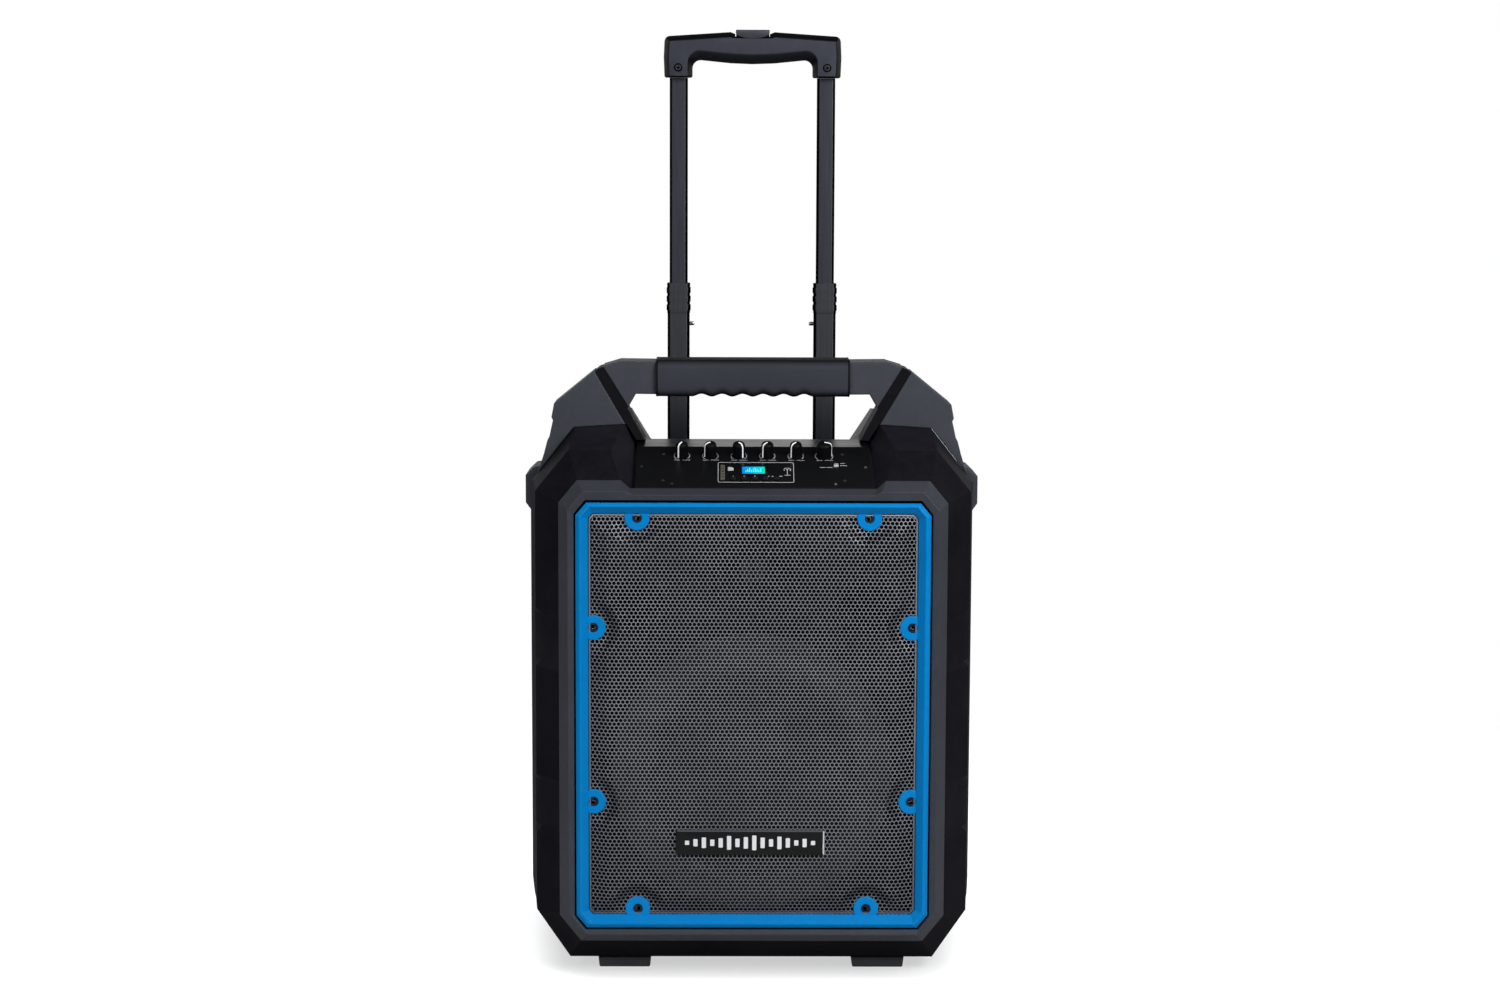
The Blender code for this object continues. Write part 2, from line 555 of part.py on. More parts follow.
def build_rear_panel():
    plate = prism("rear_io_plate", ALONG_Y, rect(-78, 78, 117, 233, 6),
                  [(Y_REAR + GAP, 0), (154.2, 0), (155.0, 0.8)])
    paint(plate, BLACK, roughness=0.4)
    boolean(plate, box("cut_rocker", ROCKER_X - 10.4, ROCKER_X + 10.4, 150, 158,
                       ROCKER_Z - 7.6, ROCKER_Z + 7.6))
    profile = [(149.0, ROCKER_Z - 6.6), (155.2, ROCKER_Z - 7.0), (155.6, ROCKER_Z),
               (157.0, ROCKER_Z + 6.6), (149.0, ROCKER_Z + 6.6)]                 # (y, z)
    rocker = prism("power_rocker", ALONG_X, profile,
                   [(ROCKER_X - 10.0, 0), (ROCKER_X + 10.0, 0)],
                   origin=(ROCKER_X, ROCKER_Y, ROCKER_Z))
    paint(rocker, (0.4, 0.02, 0.02), roughness=0.35)


# =============================== carry handle ===============================
# (x, z) right half of the arch: outer line upward, then the underside of the crossbar
ARCH_OUTER = [
    (101.9, 500.0), (110.9, 500.0), (120.8, 515.7), (170.0, 512.7), (204.4, 469.0),
    (201.8, 476.2), (198.3, 487.0), (195.0, 499.6), (193.0, 503.6), (189.5, 519.2),
    (190.9, 521.8), (188.4, 535.0), (146.6, 568.8), (126.3, 575.2), (91.6, 574.8),
    (91.6, 573.2)]
ARCH_INNER = [(91.6, 548.6), (91.6, 544.4), (110.8, 544.6), (118.5, 530.9)]


def build_handle_frame():
    arch = ARCH_OUTER + reflect(ARCH_OUTER) + reflect(ARCH_INNER) + ARCH_INNER
    frame = prism("carry_handle_frame", ALONG_Y, arch,
                  [(ARCH_Y0, ARCH_BEVEL), (ARCH_Y0 + ARCH_BEVEL, 0),
                   (ARCH_Y1 - ARCH_BEVEL, 0), (ARCH_Y1, ARCH_BEVEL)])
    paint(frame, CHARCOAL, roughness=0.45)


def build_handle_grip():
    """Sleeve round the crossbar, ribbed on its underside."""
    def sleeve(x, low, shrink=0.0):
        return ring_at(ALONG_X, x, rect(ARCH_Y0 - 4.5 + shrink, ARCH_Y1 + 4.5 - shrink,
                                        low + shrink, GRIP_TOP - shrink, 8.0))

    groove_x = RIB_COUNT / 2 * RIB_PITCH
    rings = [sleeve(-GRIP_HW, GRIP_LOW, 1.5), sleeve(-GRIP_HW + 2, GRIP_LOW),
             sleeve(-56.0, GRIP_LOW), sleeve(-groove_x, GROOVE_LOW)]
    for i in range(RIB_COUNT):
        rib_x = (i + 0.5) * RIB_PITCH - groove_x
        rings += [sleeve(rib_x - RIB_HW, RIB_LOW), sleeve(rib_x + RIB_HW, RIB_LOW),
                  sleeve(rib_x + RIB_PITCH / 2, GROOVE_LOW)]
    rings += [sleeve(56.0, GRIP_LOW), sleeve(GRIP_HW - 2, GRIP_LOW),
              sleeve(GRIP_HW, GRIP_LOW, 1.5)]
    bore = rect(ARCH_Y0 - 0.4, ARCH_Y1 + 0.4, 548.2, 573.6, 0.6)
    rings += [ring_at(ALONG_X, x, bore) for x in (GRIP_HW, -GRIP_HW)]
    grip = loft("carry_handle_grip", rings, cyclic=True)
    paint(grip, (0.04, 0.042, 0.05), roughness=0.75)


# =============================== trolley ====================================
def tube(name, x, levels, bore_w, bore_d):
    """Straight tube: levels are (z, width, depth) of the outside, bottom to top."""
    def section(z, width, depth, chamfer):
        return ring_at(ALONG_Z, z, rect(x - width / 2, x + width / 2,
                                        TUBE_Y - depth / 2, TUBE_Y + depth / 2, chamfer))

    bottom, top = levels[0][0], levels[-1][0]
    rings = [section(*level, 2.5) for level in levels]
    rings += [section(z, bore_w, bore_d, 1.5) for z in (top, bottom)]
    return loft(name, rings, origin=(x, TUBE_Y, bottom), cyclic=True)


def build_inner_tube(side, tag):
    x = side * TUBE_X
    inner = tube("inner_tube_" + tag, x,
                 [(INNER_BOTTOM, INNER_W, INNER_D), (TGRIP_Z0 - GAP, INNER_W, INNER_D)],
                 INNER_W - 2 * TUBE_T, INNER_D - 2 * TUBE_T)
    paint(inner, (0.10, 0.11, 0.13), roughness=0.35, metallic=0.9)
    wall_x = x - side * (INNER_W / 2)
    boolean(inner, cylinder("cut_pin_" + tag, PIN_R + GAP, [(wall_x, TUBE_Y, PIN_Z)], (1, 0, 0),
                            -2.4, 2.4, 16))
    pin = lathe("lock_pin_" + tag,
                [(0, 0.0), (PIN_R - 0.6, 0.0), (PIN_R, 0.8), (PIN_R, 9.4), (0, 9.4)],
                [(side * PIN_X, TUBE_Y, PIN_Z)], (side, 0, 0), 14)
    paint(pin, STEEL, roughness=0.2, metallic=1.0)


def build_middle_tube(side, tag):
    """Tube with a collar on top and a pin slot in its inward wall."""
    x = side * TUBE_X
    middle = tube("middle_tube_" + tag, x,
                  [(MID_BOTTOM, MID_W, MID_D), (612.0, MID_W, MID_D),
                   (615.0, MID_W + COLLAR_EXTRA, MID_D + COLLAR_EXTRA),
                   (COLLAR_TOP - 1.0, MID_W + COLLAR_EXTRA, MID_D + COLLAR_EXTRA),
                   (COLLAR_TOP, MID_W + 0.2, MID_D + 0.2)],
                  INNER_W + 2 * SLIDE, INNER_D + 2 * SLIDE)
    paint(middle, (0.085, 0.095, 0.11), roughness=0.35, metallic=0.9)
    wall_x = x - side * (MID_W / 2)
    boolean(middle, box("cut_slot_" + tag, wall_x - 3.0, wall_x + 3.0, TUBE_Y - 2.6,
                        TUBE_Y + 2.6, 440.0, PIN_Z + 2.5))


def build_outer_tube(side, tag):
    """Guide tube, slotted over its whole length on the inward side."""
    half_w, half_d = OUT_W / 2, OUT_D / 2
    bore_hw, bore_hd = MID_W / 2 + SLIDE, MID_D / 2 + SLIDE
    corner, slot = 2.0, 2.6
    # (x, y) from the middle of the right tube
    outline = [
        (-half_w, -slot), (-half_w, -half_d + corner), (-half_w + corner, -half_d),
        (half_w - corner, -half_d), (half_w, -half_d + corner), (half_w, half_d - corner),
        (half_w - corner, half_d), (-half_w + corner, half_d), (-half_w, half_d - corner),
        (-half_w, slot), (-bore_hw, slot), (-bore_hw, bore_hd), (bore_hw, bore_hd),
        (bore_hw, -bore_hd), (-bore_hw, -bore_hd), (-bore_hw, -slot)]
    outline = [(TUBE_X + x, TUBE_Y + y) for x, y in outline]
    if side < 0:
        outline = reflect(outline)
    outer = prism("outer_tube_" + tag, ALONG_Z, outline, [(OUTER_BOTTOM, 0), (OUTER_TOP, 0)],
                  origin=(side * TUBE_X, TUBE_Y, OUTER_TOP))
    paint(outer, (0.03, 0.03, 0.035), roughness=0.45, metallic=0.3)


def build_trolley_grip():
    # (x, z) right half: foot and outer line, then the underside
    outer = [(59.0, TGRIP_Z0), (TGRIP_HW, TGRIP_Z0), (TGRIP_HW, 881.0), (82.0, 886.8),
             (50.0, 888.6), (16.9, 890.8)]
    under = [(18.0, 860.4), (50.5, 863.0), (56.5, 860.0), (59.0, 853.0)]
    grip = prism("trolley_grip", ALONG_Y,
                 outer + reflect(outer) + reflect(under) + under,
                 [(98.0, 3.0), (101.0, 0), (129.0, 0), (132.0, 3.0)],
                 origin=(0, TUBE_Y, TGRIP_Z0))
    paint(grip, (0.035, 0.037, 0.042), roughness=0.55)
    boolean(grip, box("cut_release", -17.2, 17.2, 95.0, 125.0, 874.0, 900.0))
    button = prism("release_button", ALONG_Y,
                   [(-16.7, RELEASE_Z0), (16.7, RELEASE_Z0), (16.7, 890.4), (12.0, 892.6),
                    (-12.0, 892.6), (-16.7, 890.4)],
                   [(97.2, 1.0), (98.4, 0), (124.6, 0)], origin=(0, TUBE_Y, RELEASE_Z0))
    paint(button, (0.02, 0.02, 0.022), roughness=0.4)


# =============================== wheels and feet ============================
def build_wheel(side, tag):
    centres, axis = [(side * WHEEL_X, WHEEL_Y, WHEEL_R)], (side, 0, 0)
    tyre = lathe("tyre_" + tag,
                 [(27.4, -10.5), (33.2, -10.5), (WHEEL_R, -8.0), (WHEEL_R, 8.0), (33.2, 10.5),
                  (27.4, 10.5)], centres, axis, 32)
    paint(tyre, (0.02, 0.02, 0.02), roughness=0.85)
    hub = lathe("wheel_hub_" + tag,
                [(5.4, -12.0), (11.0, -12.0), (12.0, -8.0), (24.0, -7.0), (27.1, -9.8),
                 (27.1, 9.8), (24.0, 7.0), (12.0, 8.0), (11.0, 10.6), (5.4, 10.6)],
                centres, axis, 24)
    paint(hub, (0.05, 0.05, 0.055), roughness=0.5)


def build_foot(side, tag):
    x = side * FOOT_X
    foot = prism("foot_" + tag, ALONG_Z,
                 rect(x - FOOT_HW, x + FOOT_HW, FOOT_Y - FOOT_HD, FOOT_Y + FOOT_HD, 3.0),
                 [(0.0, 1.2), (1.2, 0.2), (Z_BOTTOM - GAP, -0.6)], origin=(x, FOOT_Y, 0))
    paint(foot, (0.015, 0.015, 0.015), roughness=0.8)


def build_axle():
    axle = lathe("wheel_axle",
                 [(0, -AXLE_HW), (4.2, -AXLE_HW), (AXLE_R, 1 - AXLE_HW), (AXLE_R, AXLE_HW - 1),
                  (4.2, AXLE_HW), (0, AXLE_HW)],
                 [(0, WHEEL_Y, WHEEL_R)], (1, 0, 0), 16)
    paint(axle, STEEL, roughness=0.3, metallic=1.0)


for old in list(bpy.data.objects):
    bpy.data.objects.remove(old, do_unlink=True)

build_front_shell()
build_rear_shell()
build_bezel()
build_trim()
build_grille()
build_badge()
build_grille_screws()
build_woofer()
build_horn()
build_ports()
build_control_panel()
build_panel_controls()
build_knobs()
build_inside()
build_rear_panel()
build_handle_frame()
build_handle_grip()
for side, tag in SIDES:
    build_inner_tube(side, tag)
    build_middle_tube(side, tag)
    build_outer_tube(side, tag)
build_trolley_grip()
for side, tag in SIDES:
    build_wheel(side, tag)
    build_foot(side, tag)
build_axle()
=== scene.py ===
# Portable loudspeaker on two wheels, with a carry handle and a telescopic trolley handle.
# It stands on z = 0 and faces -Y; +X is the viewer's right. Sizes are in millimetres
# unless a comment says otherwise, and are scaled to metres when a mesh is made.
import bpy
import bmesh
import math
import numpy as np
from mathutils import Vector, Matrix


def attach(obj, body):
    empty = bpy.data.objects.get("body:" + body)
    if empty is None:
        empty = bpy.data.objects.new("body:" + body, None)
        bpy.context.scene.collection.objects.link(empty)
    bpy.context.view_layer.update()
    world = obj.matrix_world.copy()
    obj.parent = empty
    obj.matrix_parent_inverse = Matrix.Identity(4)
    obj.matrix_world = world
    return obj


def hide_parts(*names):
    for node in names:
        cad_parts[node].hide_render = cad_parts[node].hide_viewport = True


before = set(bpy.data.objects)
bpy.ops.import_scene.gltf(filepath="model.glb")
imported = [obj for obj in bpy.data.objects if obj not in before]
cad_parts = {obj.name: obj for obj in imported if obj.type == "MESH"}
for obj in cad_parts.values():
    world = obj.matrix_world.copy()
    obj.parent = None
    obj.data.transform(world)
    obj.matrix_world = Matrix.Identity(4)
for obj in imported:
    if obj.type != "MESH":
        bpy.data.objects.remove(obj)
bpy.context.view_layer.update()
MM = 0.001
SIDES = ((-1, "left"), (1, "right"))
FRONT, BACK, UP = (0, -1, 0), (0, 1, 0), (0, 0, 1)


# =========================== shader helpers ==================================
def feed(tree, sockets, values):
    """Fills sockets by name or number: a socket is linked, anything else is a value."""
    for key, value in values.items():
        if isinstance(value, bpy.types.NodeSocket):
            tree.links.new(value, sockets[key])
        else:
            sockets[key].default_value = value


def add_node(tree, kind, inputs=None, **settings):
    node = tree.nodes.new("ShaderNode" + kind)
    for key, value in settings.items():
        setattr(node, key, value)
    feed(tree, node.inputs, inputs or {})
    return node


def new_material(name):
    """Returns the material, its node tree and the inputs of its main shader."""
    material = bpy.data.materials.new(name)
    material.use_nodes = True
    tree = material.node_tree
    return material, tree, tree.nodes["Principled BSDF"].inputs


def coords(tree, scale=(1, 1, 1)):
    source = add_node(tree, "TexCoord")
    mapping = add_node(tree, "Mapping", {"Scale": scale, "Vector": source.outputs["Object"]})
    return mapping.outputs["Vector"]


def split(tree, vector):
    return add_node(tree, "SeparateXYZ", {0: vector}).outputs


def noise(tree, vector, scale, detail=3.0):
    values = {"Scale": scale, "Detail": detail, "Roughness": 0.55, "Vector": vector}
    return add_node(tree, "TexNoise", values).outputs["Fac"]


def remap(tree, value, span, to=(0.0, 1.0)):
    """Maps the span onto another range, clamped at its ends."""
    values = {"From Min": span[0], "From Max": span[1], "To Min": to[0], "To Max": to[1],
              "Value": value}
    return add_node(tree, "MapRange", values).outputs["Result"]


def calc(tree, operation, first, second):
    return add_node(tree, "Math", {0: first, 1: second}, operation=operation).outputs[0]


def mix_color(tree, factor, first, second, blend='MIX'):
    node = add_node(tree, "Mix", data_type='RGBA', blend_type=blend)
    feed(tree, node.inputs, {0: factor, 6: first, 7: second})
    return node.outputs[2]


def tint(tree, color, factor, spread):
    """Base colour that drifts a little with the factor."""
    dark = tuple(max(0.0, c * (1 - spread)) for c in color) + (1,)
    light = tuple(min(1.0, c * (1 + spread) + 0.0015) for c in color) + (1,)
    return mix_color(tree, factor, dark, light)


def bump(tree, height, strength, depth):
    values = {"Strength": strength, "Distance": depth * MM, "Height": height}
    return add_node(tree, "Bump", values).outputs["Normal"]


def surface(name, color, rough, metal=0.0, grain=1800.0, depth=0.03, strength=0.35, var=0.10,
            rough_var=0.06, coat=0.0, edge=0.25, spec=0.5, glow=None, coarse=None, turn=None,
            fade=None):
    """General finish.

    grain, depth, strength: bump scale, depth and strength; coarse: scale of a second bump
    var, rough_var: drift of colour and roughness; edge: share of lighter colour on edges, partly
    wear and partly painted highlight
    turn: (low, high, factor), painted light: multiplies the colour where the face turns from the
    front, as painted shade below 1 and painted reflection above 1
    fade: (low, high, factor), painted shade: multiplies the colour towards the floor, heights in
    metres
    """
    material, tree, shader = new_material(name)
    bump_vector = coords(tree)
    vector = coords(tree)
    broad = noise(tree, vector, scale=14.0, detail=4.0)
    patchy = noise(tree, vector, scale=160.0)
    blend = calc(tree, 'ADD', calc(tree, 'MULTIPLY', broad, 0.65),
                 calc(tree, 'MULTIPLY', patchy, 0.35))
    base = tint(tree, color, remap(tree, blend, span=(0.35, 0.65)), spread=var)
    if edge:
        point = add_node(tree, "NewGeometry").outputs["Pointiness"]
        amount = remap(tree, point, span=(0.52, 0.60), to=(0.0, edge))
        # lighter edge colour, partly wear and partly a painted highlight
        wear_and_highlight = tuple(min(1.0, c * 1.9 + 0.008) for c in color) + (1,)
        base = mix_color(tree, amount, base, wear_and_highlight)
    if turn:
        # painted shade, or painted reflection for a factor above 1, where the face turns from the
        # front
        normal = add_node(tree, "NewGeometry").outputs["Normal"]
        dot = add_node(tree, "VectorMath", {0: normal, 1: FRONT}, operation='DOT_PRODUCT')
        shade = remap(tree, dot.outputs["Value"], span=turn[:2], to=(turn[2], 1.0))
        base = mix_color(tree, 1.0, base, shade, blend='MULTIPLY')
    if fade:
        # painted shade towards the floor
        height = split(tree, add_node(tree, "TexCoord").outputs["Object"])[2]
        shade = remap(tree, height, span=fade[:2], to=(fade[2], 1.0))
        base = mix_color(tree, 1.0, base, shade, blend='MULTIPLY')
    rough_range = (max(0.03, rough - rough_var), min(1.0, rough + rough_var))
    feed(tree, shader, {"Base Color": base, "Metallic": metal, "Specular IOR Level": spec,
                        "Roughness": remap(tree, patchy, span=(0.3, 0.7), to=rough_range)})
    if coat:
        feed(tree, shader, {"Coat Weight": coat, "Coat Roughness": 0.12})
    height = noise(tree, bump_vector, scale=grain, detail=2.0)
    if coarse:
        second = noise(tree, bump_vector, scale=coarse)
        height = calc(tree, 'ADD', height, calc(tree, 'MULTIPLY', second, 1.2))
    feed(tree, shader, {"Normal": bump(tree, height, strength, depth)})
    if glow:
        feed(tree, shader, {"Emission Color": (*glow, 1), "Emission Strength": 1.0})
    return material


def tube_material(name, face, line):
    """Anodised tube: satin faces, a painted highlight line on one corner and painted shade on the
    rounded corners.
    """
    material, tree, shader = new_material(name)
    across = split(tree, add_node(tree, "NewGeometry").outputs["Normal"])[0]
    color_ramp = add_node(tree, "ValToRGB", {0: remap(tree, across, span=(-1.0, 1.0))})
    stops = color_ramp.color_ramp.elements
    dark = (0.0016, 0.0016, 0.0018, 1)
    stops[0].color = dark
    stops[1].color = dark
    # position across the tube, from normals facing -X to +X, and colour; the dark stops are painted
    # shade on the rounded corners, the line colour a painted highlight
    for position, color in ((0.39, dark), (0.43, (*face, 1)), (0.53, (*face, 1)),
                            (0.548, (*line, 1)), (0.575, (*line, 1)), (0.60, dark)):
        stops.new(position).color = color
    drawn = noise(tree, coords(tree, scale=(1, 1, 0.02)), scale=900.0)
    shade = remap(tree, drawn, span=(0.35, 0.65), to=(0.86, 1.12))
    base = mix_color(tree, 1.0, color_ramp.outputs[0], shade, blend='MULTIPLY')
    flank = calc(tree, 'ABSOLUTE', across, 0.0)
    feed(tree, shader, {
        "Base Color": base,
        "Specular IOR Level": remap(tree, flank, span=(0.15, 0.40), to=(0.25, 0.0)),
        "Roughness": remap(tree, drawn, span=(0.3, 0.7), to=(0.37, 0.48)),
        "Normal": bump(tree, drawn, strength=0.3, depth=0.02)})
    return material


def lcd_material():
    """Glow that runs from blue on the left to green on the right."""
    material, tree, shader = new_material("lcd_backlight")
    across = split(tree, add_node(tree, "TexCoord").outputs["Object"])[0]
    color = mix_color(tree, remap(tree, across, span=(-0.0103, 0.0108)),
                      (0.0, 0.26, 0.80, 1), (0.0, 0.82, 0.62, 1))
    uneven = noise(tree, coords(tree), scale=420.0, detail=2.0)
    feed(tree, shader, {
        "Emission Color": color,
        "Base Color": (0.0, 0.01, 0.012, 1),
        "Emission Strength": remap(tree, uneven, span=(0.35, 0.65), to=(0.88, 1.06)),
        "Roughness": 0.25,
        "Specular IOR Level": 0.2})
    return material


def deck_material():
    """Smooth black deck: long faint streaks, and a duller finish towards its two ends."""
    material, tree, shader = new_material("deck_black")
    across = split(tree, add_node(tree, "TexCoord").outputs["Object"])[0]
    off_centre = calc(tree, 'ABSOLUTE', across, 0.0)
    streak = noise(tree, coords(tree, scale=(0.05, 1, 1)), scale=260.0)
    fall = remap(tree, off_centre, span=(0.070, 0.108), to=(1.0, 0.0))
    sheen = remap(tree, streak, span=(0.3, 0.7), to=(0.30, 0.52))
    drift = remap(tree, streak, span=(0.35, 0.65))
    feed(tree, shader, {
        "Specular IOR Level": calc(tree, 'MULTIPLY', fall, sheen),
        "Base Color": tint(tree, (0.005, 0.005, 0.006), drift, spread=0.2),
        "Roughness": remap(tree, streak, span=(0.3, 0.7), to=(0.22, 0.34))})
    return material


# =========================== materials =======================================
# turned faces are lightened up to six times: painted reflection of the bright surroundings
BLACK = surface("moulded_black", (0.0018, 0.0017, 0.0026), rough=0.64, grain=1500, depth=0.06,
                strength=0.5, edge=0.12, spec=0.03, turn=(0.3, 0.98, 6.0))
# painted shade on faces that turn from the front
HANDLE_BLACK = surface("handle_black", (0.0085, 0.0084, 0.0105), rough=0.50, grain=1500,
                       depth=0.06, strength=0.5, edge=0.3, spec=0.05, turn=(0.3, 0.98, 0.13))
# near-black for painted shade in recesses, gaps and faces inside the shell
RECESS_SHADE = surface("recess_shade_black", (0.0012, 0.0012, 0.0014), rough=0.70, grain=1500, edge=0,
                 spec=0.03)
CHARCOAL = surface("moulded_charcoal", (0.052, 0.056, 0.070), rough=0.52, grain=1500,
                   depth=0.06, strength=0.5, edge=0.2, spec=0.3)
BEZEL = surface("satin_charcoal", (0.042, 0.046, 0.058), rough=0.50, grain=2400, spec=0.3)
BLUE = surface("blue_trim", (0.0, 0.235, 0.630), rough=0.42, grain=2600, depth=0.02, var=0.04,
               edge=0.12, spec=0.10)
# lighter copy of the blue for the outer chamfer: painted highlight
BLUE_LIT_CHAMFER = surface("blue_trim_lit_chamfer", (0.001, 0.268, 0.700), rough=0.40, grain=2600, depth=0.02,
                   var=0.04, edge=0.12, spec=0.12)
SCREW = surface("screw_zinc_dark", (0.016, 0.024, 0.034), rough=0.50, metal=0.1, grain=2600,
                depth=0.02, edge=0.15, spec=0.3)
# painted shade on faces that turn from the front and towards the floor
SHEET = surface("grille_steel", (0.290, 0.298, 0.330), rough=0.42, metal=0.15, grain=3000,
                depth=0.02, var=0.14, edge=0, spec=0.4, turn=(0.72, 0.985, 0.42),
                fade=(0.070, 0.215, 0.70))
# painted shade on faces that turn from the front
RUBBER = surface("grip_rubber", (0.038, 0.041, 0.053), rough=0.75, grain=1100, depth=0.10,
                 strength=0.7, edge=0, spec=0.25, turn=(0.45, 0.95, 0.12))
PANEL = surface("panel_black", (0.0035, 0.0035, 0.0042), rough=0.40, grain=2000, depth=0.04,
                edge=0.2, spec=0.22)
KNOB = surface("knob_black", (0.0026, 0.0026, 0.0034), rough=0.50, grain=2200, edge=0.2,
               spec=0.12)
WHITE = surface("print_white", (0.62, 0.62, 0.64), rough=0.6, grain=2500, depth=0.01, edge=0,
                spec=0.1)
# the white pointer glows, painted light to make it brighter; it is no lamp
POINTER = surface("pointer_white_painted_glow", (0.92, 0.92, 0.93), rough=0.5, grain=2500, depth=0.01,
                  edge=0, spec=0.1, var=0.03, glow=(0.30, 0.30, 0.31))
PAINT = surface("badge_white", (0.90, 0.90, 0.91), rough=0.5, grain=2500, depth=0.01, edge=0,
                spec=0.2, var=0.03)
GLOSS = surface("gloss_black", (0.0035, 0.0035, 0.0038), rough=0.22, grain=900, depth=0.01,
                rough_var=0.04, edge=0.2, spec=0.3)
# tube finishes with painted shade on the corners and a painted highlight line
TUBE_INNER = tube_material("anodised_inner", (0.038, 0.042, 0.053), line=(0.10, 0.11, 0.13))
TUBE_MIDDLE = tube_material("anodised_middle", (0.046, 0.048, 0.056), line=(0.10, 0.105, 0.12))
# painted shade on faces that turn from the front
GRIP_SATIN = surface("grip_satin", (0.052, 0.056, 0.071), rough=0.52, grain=1700, depth=0.04,
                     edge=0, spec=0.11, turn=(0.5, 0.97, 0.02))
BUTTON = surface("button_satin", (0.052, 0.056, 0.068), rough=0.45, grain=1700, depth=0.04,
                 edge=0.1, spec=0.25)
STEEL = surface("bright_steel", (0.62, 0.62, 0.64), rough=0.22, metal=1.0, grain=2600,
                depth=0.02, edge=0.1)
DARK_STEEL = surface("blackened_steel", (0.008, 0.008, 0.009), rough=0.45, metal=0.3,
                     grain=2600, depth=0.02, edge=0.15, spec=0.2)
TYRE = surface("tyre_rubber", (0.018, 0.018, 0.021), rough=0.82, grain=900, depth=0.12,
               strength=0.8, edge=0.2, spec=0.2)
FOOT = surface("foot_rubber", (0.085, 0.085, 0.095), rough=0.80, grain=900, depth=0.10,
               strength=0.7, edge=0.2, spec=0.25)
PANEL_SCREW = surface("panel_screw_black", (0.024, 0.024, 0.027), rough=0.45, grain=1900,
                      spec=0.3)
KEY = surface("key_black", (0.0080, 0.0080, 0.0095), rough=0.48, grain=1900, spec=0.2)
HUB = surface("hub_plastic", (0.050, 0.053, 0.060), rough=0.45, grain=1700, depth=0.05,
              edge=0.3)
CONE = surface("cone_paper", (0.0035, 0.0035, 0.0042), rough=0.75, grain=420, depth=0.25,
               strength=0.7, edge=0, coarse=1500.0, spec=0.2)
SURROUND = surface("surround_rubber", (0.006, 0.006, 0.007), rough=0.6, grain=1500, depth=0.05,
                   edge=0, spec=0.3)
BASKET = surface("basket_enamel", (0.0030, 0.0030, 0.0036), rough=0.50, metal=0.1, grain=1500,
                 depth=0.06, edge=0.2, spec=0.3)
HORN = surface("horn_black", (0.0014, 0.0014, 0.0017), rough=0.50, grain=1500, depth=0.04,
               edge=0.1, spec=0.08)
FERRITE = surface("ferrite", (0.014, 0.014, 0.015), rough=0.6, metal=0.3, grain=700,
                  depth=0.15, edge=0.3)
BOARD = surface("solder_mask", (0.008, 0.075, 0.028), rough=0.35, grain=700, depth=0.1,
                edge=0.1, coat=0.3)
RED = surface("rocker_red", (0.36, 0.012, 0.012), rough=0.28, depth=0.02, edge=0.2, coat=0.3)
BRASS = surface("socket_metal", (0.55, 0.48, 0.36), rough=0.3, metal=0.9, grain=2200,
                depth=0.02, edge=0.2)
BATTERY = surface("battery_case", (0.035, 0.035, 0.045), rough=0.5, grain=1200, depth=0.05,
                  edge=0.3)
SLOT_METAL = surface("slot_metal", (0.15, 0.14, 0.11), rough=0.5, metal=0.2, edge=0.1,
                     spec=0.3)
LCD = lcd_material()
DECK = deck_material()


# =========================== outlines ========================================
def rect(x0, x1, y0, y1):
    return [(x0, y0), (x1, y0), (x1, y1), (x0, y1)]


def circle(x, y, radius, steps):
    angles = [2 * math.pi * k / steps for k in range(steps)]
    return [(x + radius * math.cos(a), y + radius * math.sin(a)) for a in angles]


def mirrored(right):
    """Closes a right-hand half outline with its mirror image."""
    return right + [(-x, z) for x, z in reversed(right)]


def on_side(points, side):
    """Outline drawn for +X, mirrored for side -1 with its winding kept."""
    return [(side * x, z) for x, z in points][::side]


def at_y(outline, y):
    return [(x, y, z) for x, z in outline]


def offset_poly(points, inset):
    """Moves every edge inwards by the inset (outwards if negative)."""
    if inset == 0:
        return list(points)
    moved = []
    for i in range(len(points)):
        before, here, after = (Vector(points[j % len(points)]) for j in (i - 1, i, i + 1))
        edge0, edge1 = (here - before).normalized(), (after - here).normalized()
        normal0, normal1 = Vector((-edge0.y, edge0.x)), Vector((-edge1.y, edge1.x))
        corner = here + (normal0 + normal1) * (inset / (1.0 + normal0.dot(normal1)))
        moved.append((corner.x, corner.y))
    return moved


def fillet(points, radius, steps=5):
    """Rounds every corner; radius is one value or a list with one per corner."""
    rounded = []
    count = len(points)
    for i in range(count):
        wanted = radius if isinstance(radius, (int, float)) else radius[i]
        before, here, after = (Vector(points[j % count]) for j in (i - 1, i, i + 1))
        back, ahead = before - here, after - here
        back_len, ahead_len = back.length, ahead.length
        back, ahead = back / back_len, ahead / ahead_len
        angle = back.angle(ahead)
        if wanted <= 0 or angle > math.pi - 0.02:
            rounded.append((here.x, here.y))
            continue
        reach = min(wanted / math.tan(angle / 2), back_len * 0.49, ahead_len * 0.49)
        fitted = reach * math.tan(angle / 2)
        centre = here + (back + ahead).normalized() * (fitted / math.sin(angle / 2))
        start, end = here + back * reach, here + ahead * reach
        angle0 = math.atan2(start.y - centre.y, start.x - centre.x)
        angle1 = math.atan2(end.y - centre.y, end.x - centre.x)
        sweep = (angle1 - angle0 + math.pi) % (2 * math.pi) - math.pi
        for k in range(steps + 1):
            turn = angle0 + sweep * k / steps
            rounded.append((centre.x + fitted * math.cos(turn),
                            centre.y + fitted * math.sin(turn)))
    return rounded


